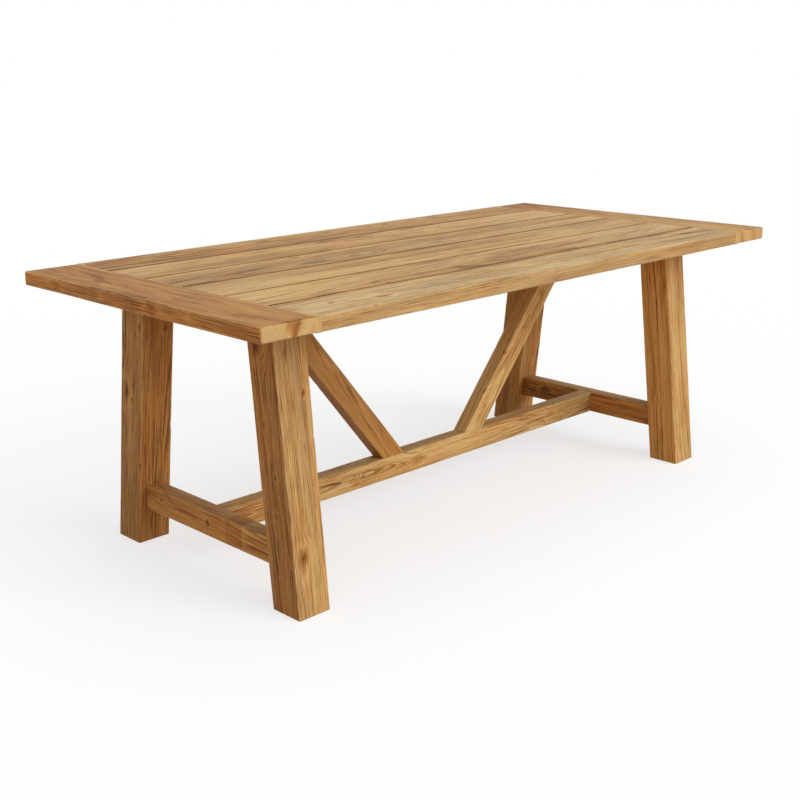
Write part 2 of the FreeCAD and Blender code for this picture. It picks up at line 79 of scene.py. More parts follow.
# Mesh steps in metres, counts, and the angle of a sharp edge
ALONG_STEP = 0.006
ACROSS_STEP = 0.004
ARC_STEPS = 5
ROUND_STEPS = 5
CAP_RINGS = 22
BORE_SIDES = 48
EASE_SPAN = 0.014
NEAR_PAIR = 0.00025
FAR_PAIR = 0.0011
PAIR_ROOM = 0.0024
LINE_HALF = 2 * NEAR_PAIR
SHARP_ANGLE = math.radians(50)
CUT_ROUNDS = 12

# Wear: the arris radius wanders and has bruises, and a check's depth wanders
WANDER_OCTAVES = 4
ARRIS_WANDER = 0.35
ARRIS_SPAN = 0.9
BRUISE_APART = 0.22
BRUISE_SPREAD = (0.003, 0.014)
BRUISE_DEPTH = (0.1, 0.9)
CHECK_WANDER = 0.25
CHECK_SPAN = 0.13

# Knots: the fade is in metres, pairs are strength and reach in radii, and the halo's place comes between
KNOT_STRETCH = 1.7
KNOT_LOBES = (1, 2, 3, 5)
KNOT_LOBE = 0.13
KNOT_FADE = 0.025
KNOT_RINGS = 1.6
KNOT_PUSH = (0.8, 2.6)
KNOT_HEART = (0.26, 0.60)
KNOT_BODY = (0.12, 1.10)
KNOT_HALO = (0.10, 1.8, 0.60)
KNOT_RED = (0.7, 1.2)

# Streaks, ends, joints and recesses. A tone is lightness and warmth; the seams' dirt and painted shade have
# a mean and a wander
SOFT_END = 0.05
END_SKIN = 0.0004
END_CONTRAST = 0.4
STREAK_WARMTH = 0.7
STREAK_DRIFT = 0.5
STREAK_SPAN = 0.35
BAND_REACH = 0.012
BAND_WARMTH = 2.0
# The plug recess: a painted highlight round its rim, and painted shade inside it
RIM_HIGHLIGHT = (0.22, -0.35)
RECESS_SHADE = 0.7
GLUE_DARK = 0.55
# The seams: dirt and painted shade in the joint, how far it reaches past the arris, and its wander
DIRT_AND_SHADE_REACH = 0.0012
SEAM_DIRT_AND_SHADE = (0.9, 0.25)
DIRT_AND_SHADE_SPAN = 0.4
SEAM_STAIN = 0.006
SEAM_TONE = (-0.10, 0.8)

# What sets the boards' wood apart
HEART_SLANT = 0.35
RING_APART = 0.31
PLACE_APART = np.array([3.71, 1.37, 0.59])
PAINT_SEED = 1000

# Each face's direction along the section, and outwards, as (v, w)
FACE_AXES = np.array([[(1, 0), (0, -1)], [(0, 1), (1, 0)], [(-1, 0), (0, 1)], [(0, -1), (-1, 0)]])
X = np.array([1.0, 0.0, 0.0])
Y = np.array([0.0, 1.0, 0.0])
Z = np.array([0.0, 0.0, 1.0])


# Worn boards

class Board:
    """A straight board. The point u along, v across and w through it lies at
    start + u * along + v * across + w * through; along may lean on the other two, where the ends are cut
    askew. The ends' rounding draws v towards still, a share of the half width: 0 for both sides alike."""

    def __init__(self, node, slot, start, end, across, through, section, arris, end_round, still=0.0):
        self.node = node
        self.slot = slot
        self.start = np.array(start, float)
        run = np.array(end, float) - self.start
        self.length = float(np.linalg.norm(run))
        self.axes = np.array([run / self.length, across, through])
        self.half = (section[0] / 2, section[1] / 2)
        self.arris = np.full(4, 1.0) * arris
        self.end_round = end_round
        self.still = still * self.half[0]

    def to_world(self, cut):
        return self.start + cut @ self.axes

    def to_cut(self, world):
        return (world - self.start) @ np.linalg.inv(self.axes)

    def to_grain(self, world):
        """Square coordinates whose first axis follows the board's length."""
        along = self.axes[0]
        across = self.axes[1] - (self.axes[1] @ along) * along
        across /= np.linalg.norm(across)
        square = np.array([along, across, np.cross(along, across)])
        return (world - self.start) @ square.T


@dataclass
class Figure:
    """What a board's wood shows. A share is of the length along u, or of the half size along v and w. Faces
    are 0 at -w, 1 at +v, 2 at +w and 3 at -v. Light and warm are numbers, or stops of (u share, value)."""
    seed: int
    pith: tuple  # the tree's heart, beside the board's middle
    tilt: tuple  # how the heart leans along the board
    fine: float = 1.0  # how much closer the rings lie
    light: object = 0.0
    warm: object = 0.0
    sap: tuple = (0.0, 0.0)  # slope of light across and through
    blush: tuple = (0.0, 0.0)  # slope of warm across and through
    contrast: float = 1.0
    faces: tuple = ()  # (face, light, warm, contrast); partly painted light on faces in shade
    knots: tuple = ()  # (u share, v share, w share, radius, strength)
    streaks: tuple = ()  # (from u share, to u share, v share, w share, radius, strength)
    strips: tuple = ()  # (v of a glue line, heart's shift, light, warm) for the wood past the line
    splices: tuple = ()  # u shares where the wood changes
    checks: tuple = ()  # (face, place across it in metres, from u share, to u share, depth)
    seams: tuple = ()  # sides, as signs of v, with dirt and painted shade in the joint to the next board
    end_tone: tuple = (0.0, 0.0)  # light and warm of the ends
    bands: tuple = ()  # wedges on the first end: (v share at top and bottom, half width there, strength)
    bore: int = 0  # side, as a sign of v, with a plug's recess at the middle
    wear: float = 1.0


def bell(distance, spread):
    """1 at no distance, falling off smoothly over the spread."""
    return np.exp(-(distance / spread) ** 2)


def wander(places, span, rng):
    """A smooth random line between about -1 and 1: sines of falling strength with random phases."""
    total = np.zeros_like(places)
    for octave in range(1, WANDER_OCTAVES + 1):
        phase = rng.uniform(0, 2 * math.pi)
        total += np.sin(2 * math.pi * octave * places / span + phase) / octave
    return total / 2


def stations(low, high, step, breaks=()):
    """Even places from low to high, with four close ones round each break."""
    count = max(2, round((high - low) / step))
    even = np.linspace(low, high, count + 1)
    for place in breaks:
        even = even[np.abs(even - place) > PAIR_ROOM]
    close = [place + gap for place in breaks for gap in (-FAR_PAIR, -NEAR_PAIR, NEAR_PAIR, FAR_PAIR)]
    return np.sort(np.concatenate([even, close]))


def window(share, low, high):
    """1 between two shares of the length, with soft ends."""
    return np.clip(np.minimum(share - low, high - share) / SOFT_END, 0, 1)


def worn_radii(board, figure, along, rng):
    """Arris radius at each row for the four arrises: the plain radius, a slow wander, and round bruises
    whose depth falls off as a bell along the board."""
    radii = []
    for arris in board.arris:
        radius = arris * (1 + ARRIS_WANDER * figure.wear * wander(along, ARRIS_SPAN, rng))
        for _ in range(max(1, round(board.length / BRUISE_APART))):
            place = rng.uniform(0, board.length)
            spread = rng.uniform(*BRUISE_SPREAD)
            depth = arris * figure.wear * rng.uniform(*BRUISE_DEPTH) ** 2
            radius = radius + depth * bell(along - place, spread)
        radii.append(radius)
    return np.array(radii).T


def section_columns(board, figure, along, radii, rng):
    """The worn section at every row: quarter circles at the four corners, joined by flat faces. A face's
    columns slide towards its middle where the arris is worn back, and dip along the wood's checks."""
    turn = np.linspace(0, math.pi / 2, ARC_STEPS + 1)
    columns = []
    for face, (run, out) in enumerate(FACE_AXES):
        across_v = face % 2 == 0
        edge, rise = board.half if across_v else board.half[::-1]
        following = (face + 1) % 4
        radius, after = radii[:, [face]], radii[:, [following]]
        arris, next_arris = board.arris[face], board.arris[following]
        low_end, high_end = arris - edge, edge - next_arris
        checks = [check for check in figure.checks if check[0] == face]
        breaks = [sum(run) * strip[0] for strip in figure.strips if across_v]
        breaks += [check[1] for check in checks]
        flat = stations(low_end, high_end, ACROSS_STEP, breaks)
        flat[[0, -1]] += (DIRT_AND_SHADE_REACH, -DIRT_AND_SHADE_REACH)
        dips = np.zeros((len(along), len(flat)))
        for _, across, low, high, depth in checks:
            bottom = np.abs(flat - across) < LINE_HALF
            deep = depth * (1 - CHECK_WANDER + CHECK_WANDER * wander(along, CHECK_SPAN, rng))
            dips += (window(along / board.length, low, high) * deep)[:, None] * bottom
        slide = (radius - arris) * np.maximum(0, 1 - (flat - low_end) / EASE_SPAN)
        slide = slide - (after - next_arris) * np.maximum(0, 1 - (high_end - flat) / EASE_SPAN)
        places = np.concatenate([radius - edge - radius * np.cos(turn), flat + slide], axis=1)
        heights = np.concatenate([rise - radius + radius * np.sin(turn), rise - dips], axis=1)
        columns.append(places[..., None] * run + heights[..., None] * out)
    return np.concatenate(columns, axis=1)


def worn_surface(board, figure):
    """The board's closed surface as rows of section points: rings that grow from the middle of one end,
    a quarter round over the end's arris, the worn section carried along, and the same to the other end."""
    rng = np.random.default_rng(figure.seed)
    round_v, round_w = board.end_round
    turn = max(round_v, round_w)
    quarter = np.linspace(math.pi / 2, 0, ROUND_STEPS + 1)
    breaks = [share * board.length for share in figure.splices]
    body = stations(turn, board.length - turn, ALONG_STEP, breaks)[1:-1]
    rings = np.linspace(0, 1, CAP_RINGS + 1)[1:-1]
    start_u = np.concatenate([np.zeros(len(rings)), turn * (1 - np.sin(quarter))])
    start_ring = np.concatenate([rings, np.ones(len(quarter))])
    start_inset = np.concatenate([np.ones(len(rings)), 1 - np.cos(quarter)])
    along = np.concatenate([start_u, body, board.length - start_u[::-1]])
    ring = np.concatenate([start_ring, np.ones(len(body)), start_ring[::-1]])[:, None]
    inset = np.concatenate([start_inset, np.zeros(len(body)), start_inset[::-1]])[:, None]
    section = section_columns(board, figure, along, worn_radii(board, figure, along, rng), rng)
    shrink_v = round_v / (board.half[0] + abs(board.still))
    middle = board.still * shrink_v
    rows = np.empty(section.shape[:2] + (3,))
    rows[..., 0] = along[:, None]
    outline_v = board.still + (section[..., 0] - board.still) * (1 - shrink_v * inset)
    rows[..., 1] = middle + (outline_v - middle) * ring
    rows[..., 2] = section[..., 1] * (1 - round_w / board.half[1] * inset) * ring
    poles = np.array([[0.0, middle, 0.0], [board.length, middle, 0.0]])
    return rows, poles


def make_mesh(name, points, faces):
    """A mesh with smooth faces."""
    mesh = bpy.data.meshes.new(name)
    mesh.from_pydata(points, [], faces, shade_flat=False)
    mesh.validate()
    return mesh


def add_object(name, data):
    thing = bpy.data.objects.new(name, data)
    bpy.context.scene.collection.objects.link(thing)
    return thing


def tube_mesh(name, rows, poles):
    """A closed mesh from rows of points and the two poles that end them: quads between neighbouring rows and
    fans from the poles, all turned outwards."""
    count, columns = rows.shape[:2]
    here = np.arange(columns)
    after = (here + 1) % columns
    base = np.arange(count - 1)[:, None] * columns
    quads = np.stack([base + here, base + after, base + columns + after, base + columns + here], axis=-1)
    first = np.full(columns, count * columns)
    end = (count - 1) * columns
    fans = np.concatenate([np.stack([first, after, here], axis=-1),
                           np.stack([first + 1, end + here, end + after], axis=-1)])
    points = np.concatenate([rows.reshape(-1, 3), poles])
    return make_mesh(name, points.tolist(), quads.reshape(-1, 4).tolist() + fans.tolist())


def bore_rows(centre, axis, side, radius, depth):
    """A cylinder that starts just outside a face at centre and runs against axis: two rings and their
    middles."""
    turn = np.linspace(0, 2 * math.pi, BORE_SIDES, endpoint=False)
    ring = radius * (np.cos(turn)[:, None] * side + np.sin(turn)[:, None] * np.cross(axis, side))
    ends = np.array([centre - depth * axis, centre + CUT_PAST * axis])
    return ends[:, None, :] + ring[None, :, :], ends


def block_rows(low, high):
    """A box between two corners as two square rings and their middles."""
    (left, front, under), (right, back, over) = low, high
    rows = np.array([[(left, front, z), (right, front, z), (right, back, z), (left, back, z)]
                     for z in (under, over)])
    return rows, rows.mean(axis=1)


def carve(piece, cutters):
    """Cuts closed shapes, given as rows and poles, out of a piece and keeps the result as its mesh."""
    for rows, poles in cutters:
        cutter = add_object("cutter", tube_mesh("cutter", rows, poles))
        cut = piece.modifiers.new("cut", "BOOLEAN")
        cut.operation = "DIFFERENCE"
        cut.solver = "EXACT"
        cut.object = cutter
        whole = bpy.context.evaluated_depsgraph_get()
        carved = bpy.data.meshes.new_from_object(piece.evaluated_get(whole))
        piece.modifiers.clear()
        old = piece.data
        piece.data = carved
        bpy.data.meshes.remove(old)
        bpy.data.objects.remove(cutter)


# What the grain does over a board's surface

def stops(value, share):
    """A number as it is, or a line through stops of (share, value)."""
    if isinstance(value, (int, float)):
        return np.full_like(share, value)
    places, values = zip(*value)
    return np.interp(share, places, values)


def knot_distance(board, cut, knot, rng):
    """Distance from a knot's axis in knot radii: longer along the grain, with an uneven rim. Also how near
    the knot's own face is, and the place beside its axis."""
    u_share, v_share, w_share, radius, _ = knot
    along = (cut[:, 0] - u_share * board.length) / KNOT_STRETCH
    dv = cut[:, 1] - v_share * board.half[0]
    dw = cut[:, 2] - w_share * board.half[1]
    out, beside = (dw, dv) if abs(w_share) == 1 else (dv, dw)
    turn = np.arctan2(beside, along)
    rim = 1.0
    for lobes in KNOT_LOBES:
        rim = rim + KNOT_LOBE * np.sin(lobes * turn + rng.uniform(0, 2 * math.pi))
    return np.hypot(along, beside) / (radius * rim), bell(out, KNOT_FADE), beside


def ring_field(board, figure, cut, grain, knots):
    """Distance from the tree's heart, whose line leans slowly through the board. Each glued strip has its
    own heart. Round a knot the rings are pushed aside, and inside it they are circles."""
    offset = np.zeros(len(cut))
    for limit, shift, _, _ in figure.strips:
        offset += np.where(cut[:, 1] > limit, shift, 0.0)
    lean = grain[:, 0] - board.length / 2
    across = grain[:, 1].copy()
    push, reach = KNOT_PUSH
    for distance, near, beside, _, _ in knots:
        across -= push * beside * near * bell(distance, reach)
    heart_v = figure.pith[0] + offset + figure.tilt[0] * lean
    heart_w = figure.pith[1] + HEART_SLANT * offset + figure.tilt[1] * lean
    ring = np.hypot(across - heart_v, grain[:, 2] - heart_w)
    for distance, near, _, radius, _ in knots:
        inside = near * np.clip(KNOT_RINGS - distance, 0, 1)
        ring = ring * (1 - inside) + inside * distance * radius
    return ring


class Tone:
    """Lightness, warmth, darkening and contrast of the wood at every point of a board's surface: stops along
    the board and slopes across it, to which the methods add what the figure lists. The darkening is glue
    lines and seam dirt, and painted shade in checks, seams and recesses."""

    def __init__(self, board, figure, cut):
        self.figure = figure
        self.length = board.length
        self.half_v, self.half_w = board.half
        self.arris = board.arris
        self.u, self.v, self.w = cut.T
        self.share = self.u / self.length
        self.light = self.sloped(figure.light, *figure.sap)
        self.warm = self.sloped(figure.warm, *figure.blush)
        self.dark = np.zeros(len(cut))
        self.contrast = np.full(len(cut), figure.contrast)
        self.ends = np.minimum(self.u, self.length - self.u) < END_SKIN
        depths = (self.half_w + self.w, self.half_v - self.v, self.half_w - self.w, self.half_v + self.v)
        self.face = np.where(self.ends, -1, np.argmin(depths, axis=0))

    def sloped(self, value, across, through):
        return stops(value, self.share) + across * self.v / self.half_v + through * self.w / self.half_w

    def shift(self, amount, light, warm):
        self.light += amount * light
        self.warm += amount * warm

    def darken(self, amount):
        self.dark = np.maximum(self.dark, amount)

    def add_faces(self):
        """A tone for each face and each glued strip, with a dark line at the glue. A face's tone is partly
        the wood's own and partly painted light: several faces turned to -X are painted warmer, and faces in
        shade under the top lighter.
        """
        for limit, _, light, warm in self.figure.strips:
            self.shift(self.v > limit, light, warm)
            self.darken(GLUE_DARK * (np.abs(self.v - limit) < LINE_HALF))
        for face, light, warm, contrast in self.figure.faces:
            self.shift(self.face == face, light, warm)
            self.contrast = np.where(self.face == face, contrast, self.contrast)

    def add_streaks(self, rng):
        """Dark warm streaks that wander along the grain."""
        for low, high, v_share, w_share, radius, strength in self.figure.streaks:
            drift = STREAK_DRIFT * radius * wander(self.u, STREAK_SPAN, rng)
            dv = self.v - v_share * self.half_v + drift
            dw = self.w - w_share * self.half_w + drift
            amount = strength * window(self.share, low, high) * bell(np.hypot(dv, dw), radius)
            self.shift(amount, -1, STREAK_WARMTH)

    def add_knots(self, knots):
        """Reddish knots with a dark heart and a pale rim."""
        halo, halo_place, halo_reach = KNOT_HALO
        for distance, near, _, _, strength in knots:
            heart = KNOT_HEART[0] * bell(distance, KNOT_HEART[1])
            body = KNOT_BODY[0] * bell(distance ** 2, KNOT_BODY[1] ** 2)
            rim = halo * bell(distance - halo_place, halo_reach)
            self.shift(strength * near, rim - heart - body, KNOT_RED[0] * bell(distance, KNOT_RED[1]))

    def add_checks(self):
        """Painted shade in the checks: dark lines along their bottoms. The ends keep clear of them."""
        places = (self.v, self.w, -self.v, -self.w)
        for face, across, low, high, _ in self.figure.checks:
            bottom = (np.abs(places[face] - across) < LINE_HALF) & (self.face == face)
            self.darken(bottom * window(self.share, low, high))
        self.dark = np.where(self.ends, 0.0, self.dark)

    def add_bore(self):
        """A painted highlight as a pale rim round the plug's recess, and painted shade inside it."""
        inside = np.hypot(self.u - self.length / 2, self.w) < PLUG_RADIUS + NEAR_PAIR
        depth = self.half_v - self.figure.bore * self.v
        rim = inside & (depth < END_SKIN)
        self.shift(rim, *RIM_HIGHLIGHT)
        self.darken(RECESS_SHADE * (inside & ~rim & (depth < 2 * PLUG_DEPTH)))

    def add_ends(self):
        """The ends' own tone, and dark wedges on the first end."""
        self.shift(self.ends, *self.figure.end_tone)
        self.contrast = np.where(self.ends, END_CONTRAST, self.contrast)
        near_end = np.clip(1 - self.u / BAND_REACH, 0, 1)
        rise = (self.w / self.half_w + 1) / 2
        for top_v, bottom_v, top_half, bottom_half, strength in self.figure.bands:
            middle = bottom_v + (top_v - bottom_v) * rise
            spread = bottom_half + (top_half - bottom_half) * rise
            self.shift(strength * near_end * bell(self.v / self.half_v - middle, spread), -1, BAND_WARMTH)

    def add_seams(self, rng):
        """Dirt and painted shade in the joints with the next boards, and a stain beside them."""
        for sign, arris in zip((-1, 1), self.arris):
            if sign in self.figure.seams:
                beside = self.half_v - sign * self.v
                dirt_and_shade = SEAM_DIRT_AND_SHADE[0] + SEAM_DIRT_AND_SHADE[1] * wander(self.u, DIRT_AND_SHADE_SPAN, rng)
                past = (beside - arris / 2) / (arris / 2 + DIRT_AND_SHADE_REACH)
                self.darken(np.clip(1 - past, 0, 1) * dirt_and_shade)
                self.shift(bell(beside, SEAM_STAIN), *SEAM_TONE)


def board_tone(board, figure, cut, knots, rng):
    """All that the figure lists, in order."""
    tone = Tone(board, figure, cut)
    tone.add_faces()
    tone.add_streaks(rng)
    tone.add_knots(knots)
    tone.add_checks()
    if figure.bore:
        tone.add_bore()
    tone.add_ends()
    tone.add_seams(rng)
    return tone


def arris_distance(board, figure, cut):
    """How far along the surface the nearest worn arris is: the second least of the depths below the faces.
    The shader paints the arrises pale within it: wear, and a painted highlight. A side at a seam counts as
    deep, because nothing rubs it."""
    deep = np.ones(len(cut))
    sides = [deep if sign in figure.seams else board.half[0] - sign * cut[:, 1] for sign in (-1, 1)]
    depths = np.stack([np.minimum(*sides), board.half[1] - np.abs(cut[:, 2]),
                       np.minimum(cut[:, 0], board.length - cut[:, 0])])
    return np.sort(depths, axis=0)[1]


def set_attribute(mesh, name, values):
    attribute = mesh.attributes.new(name, "FLOAT_VECTOR", "POINT")
    attribute.data.foreach_set("vector", values.astype(np.float32).ravel())


def paint_board(piece, board, figure):
    """Keeps the grain's place, rings, arris distance and tone on the mesh, worked out from its points."""
    mesh = piece.data
    world = np.empty(len(mesh.vertices) * 3, np.float32)
    mesh.vertices.foreach_get("co", world)
    world = world.reshape(-1, 3).astype(float)
    cut = board.to_cut(world)
    grain = board.to_grain(world)
    rng = np.random.default_rng(figure.seed + PAINT_SEED)
    knots = [(*knot_distance(board, cut, knot, rng), *knot[3:]) for knot in figure.knots]
    ring = figure.fine * ring_field(board, figure, cut, grain, knots) + figure.seed * RING_APART
    tone = board_tone(board, figure, cut, knots, rng)
    arris = arris_distance(board, figure, cut)
    set_attribute(mesh, "grain_place", grain + figure.seed * PLACE_APART)
    set_attribute(mesh, "rings", np.stack([ring, arris, tone.contrast], axis=-1))
    set_attribute(mesh, "tone", np.stack([tone.light, tone.warm, tone.dark], axis=-1))


def set_material(mesh, material):
    mesh.materials.clear()
    mesh.materials.append(material)


def make_board(board, figure, material, cutters=()):
    """One worn board that stands for its node."""
    rows, poles = worn_surface(board, figure)
    world = board.to_world(rows.reshape(-1, 3)).reshape(rows.shape)
    mesh = tube_mesh(f"worn_{board.node}", world, board.to_world(poles))
    if np.linalg.det(board.axes) < 0:
        mesh.flip_normals()
    piece = add_object(f"worn_{board.node}", mesh)
    carve(piece, cutters)
    paint_board(piece, board, figure)
    piece.data.set_sharp_from_angle(angle=SHARP_ANGLE)
    set_material(piece.data, material)
    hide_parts(board.node)
    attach(piece, "root")


# Shader helpers

class Graph:
    """Short calls that add nodes to one tree and link them. A value is a number, a tuple or a socket."""

    def __init__(self, tree):
        self.tree = tree

    def node(self, kind, **settings):
        made = self.tree.nodes.new(kind)
        for name, value in settings.items():
            setattr(made, name, value)
        return made

    def feed(self, socket, value):
        if isinstance(value, bpy.types.NodeSocket):
            self.tree.links.new(value, socket)
        else:
            socket.default_value = value

    def fill(self, made, values):
        """Feeds several sockets of a node, by name or by number."""
        for socket, value in values.items():
            self.feed(made.inputs[socket], value)
        return made

    def out(self, kind, values, output=0, **settings):
        """One output of a new node, once its settings and inputs are given."""
        return self.fill(self.node(kind, **settings), values).outputs[output]

    def end(self, kind, shader):
        """Links a shader to a new output node."""
        self.feed(self.node(kind).inputs[0], shader)

    def math(self, operation, first, second=0.0, clamp=False):
        return self.out("ShaderNodeMath", {0: first, 1: second}, operation=operation, use_clamp=clamp)

    def add(self, *terms):
        total = terms[0]
        for term in terms[1:]:
            total = self.math("ADD", total, term)
        return total

    def times(self, first, second):
        return self.math("MULTIPLY", first, second)

    def centred(self, value, strength):
        """Strength times a value that is measured from one half."""
        return self.times(self.math("SUBTRACT", value, 0.5), strength)

    def vector(self, operation, first, second):
        return self.out("ShaderNodeVectorMath", {0: first, 1: second}, operation=operation)

    def noise(self, place, along, across, detail, roughness):
        """Noise of a place that is first stretched along and across the grain."""
        stretched = self.vector("MULTIPLY", place, (along, across, across))
        values = {"Vector": stretched, "Scale": 1.0, "Detail": detail, "Roughness": roughness}
        return self.out("ShaderNodeTexNoise", values)

    def noise_line(self, value, scale, detail):
        """Noise of one number."""
        values = {"W": value, "Scale": scale, "Detail": detail}
        return self.out("ShaderNodeTexNoise", values, noise_dimensions="1D")

    def smooth(self, value, low, high):
        """0 below low, 1 above high, and an easy step between."""
        values = {"Value": value, "From Min": low, "From Max": high}
        return self.out("ShaderNodeMapRange", values, interpolation_type="SMOOTHSTEP")

    def mix(self, factor, first, second, blend="MIX"):
        """A mix of two colours. Their sockets go by number, as others have the same names."""
        values = {0: factor, 6: first, 7: second}
        return self.out("ShaderNodeMix", values, 2, data_type="RGBA", blend_type=blend)

    def mix_shaders(self, factor, first, second):
        return self.out("ShaderNodeMixShader", {0: factor, 1: first, 2: second})

    def ramp(self, value, colours):
        made = self.fill(self.node("ShaderNodeValToRGB"), {0: value})
        elements = made.color_ramp.elements
        while len(elements) < len(colours):
            elements.new(0.5)
        for element, (place, colour) in zip(elements, colours):
            element.position = place
            element.color = colour
        return made.outputs[0]


def new_group(name, inputs, outputs):
    """A shader group with named sockets: the tree, its graph, its inputs and its outputs by name."""
    tree = bpy.data.node_groups.new(name, "ShaderNodeTree")
    for direction, sockets in (("INPUT", inputs), ("OUTPUT", outputs)):
        for socket, what in sockets.items():
            tree.interface.new_socket(name=socket, in_out=direction, socket_type=f"NodeSocket{what}")
    graph = Graph(tree)
    entry = graph.node("NodeGroupInput")
    leave = graph.node("NodeGroupOutput")
    return tree, graph, entry.outputs, leave.inputs


def empty_graph(owner):
    """The cleared node tree of a material or a world."""
    owner.use_nodes = True
    owner.node_tree.nodes.clear()
    return Graph(owner.node_tree)


# Teak, from dark heart streaks to pale sapwood
TEAK = ((0.00, (0.060, 0.022, 0.007, 1)), (0.25, (0.215, 0.088, 0.025, 1)), (0.50, (0.420, 0.222, 0.071, 1)),
        (0.75, (0.585, 0.381, 0.152, 1)), (1.00, (0.735, 0.560, 0.302, 1)))
REDDENED = (1.06, 0.82, 0.58, 1)
GREYED = (0.320, 0.252, 0.152, 1)
# The pale arris colour is worn wood with a painted highlight along the edges
WORN_AND_HIGHLIGHT = (0.620, 0.415, 0.190, 1)
CHIPPED = (0.300, 0.115, 0.036, 1)
# The dark colour paints glue lines and seam dirt, and painted shade in checks, seams and recesses
GLUE_DIRT_AND_SHADE = (0.050, 0.019, 0.007, 1)
MIDDLE_TEAK = 0.5

# Noise in the wood: scale along the grain, scale across it, detail, roughness
WOOD_NOISE = {
    "wobble": (3.5, 38, 2.0, 0.5), "lined": (2.0, 26, 1.0, 0.5), "worn_patch": (1.6, 21, 2.0, 0.5),
    "long_streak": (2.6, 400, 2.0, 0.5), "dash": (16, 470, 2.0, 0.5), "strand": (7.0, 420, 2.0, 0.6),
    "broad": (3.0, 85, 3.0, 0.7), "fibre": (26, 900, 2.0, 0.6), "cloud": (3.2, 15, 2.0, 0.5),
    "pores": (75, 1600, 1.0, 0.5), "stain": (3.4, 36, 3.0, 0.6), "rub_and_highlight": (26, 150, 2.0, 0.5),
    "chip": (34, 60, 2.0, 0.5),
}
# Where a noise begins to show as a mark, and where it shows in full
MARKS = {
    "lined": (0.38, 0.62), "worn_patch": (0.40, 0.64), "long_streak": (0.55, 0.66), "dash": (0.55, 0.66),
    "pores": (0.60, 0.76), "chip": (0.58, 0.66),
}
LATE_MARK = (0.51, 0.61)
# Growth bands and late-wood lines over the ring distance: scale and detail
WIDE_BANDS = (20, 1.0)
LATE_LINES = (260, 2.0)
RING_WOBBLE = 0.006
LEAST_LINES = 0.30
LEAST_DASHES = 0.35
# How strongly each noise and mark changes the lightness, the roughness and the relief
LIGHT = {"band": 0.22, "cloud": 0.40, "strand": 0.95, "broad": 1.1, "fibre": 0.42, "late": -0.26,
         "long_streak": -0.30, "dash": -0.28, "pores": -0.10}
ROUGH = {"plain": 0.58, "fibre": 0.22, "cloud": 0.16, "wear": -0.06}
RELIEF = {"fibre": 0.4, "strand": 0.5, "late": 0.3, "pores": -0.6}
STAIN_WARMTH = 1.5
GREY_SHARE = -0.9
# The pale arrises' unevenness, reach and strength: worn wood with a painted highlight
RUB_AND_HIGHLIGHT_UNEVEN = 0.010
RUB_AND_HIGHLIGHT_REACH = 0.0038
WEAR_AND_HIGHLIGHT_SHARE = 0.38
CHIP_SHARE = 0.6
# How much of the dark colour: glue lines and seam dirt, and painted shade in checks, seams and recesses
DARK_SHARE = 0.85
BUMP_DEPTH = 0.0008
BOARD_BUMP = 0.5
PLAIN_BUMP = 0.4
TEAK_SPECULAR = 0.12


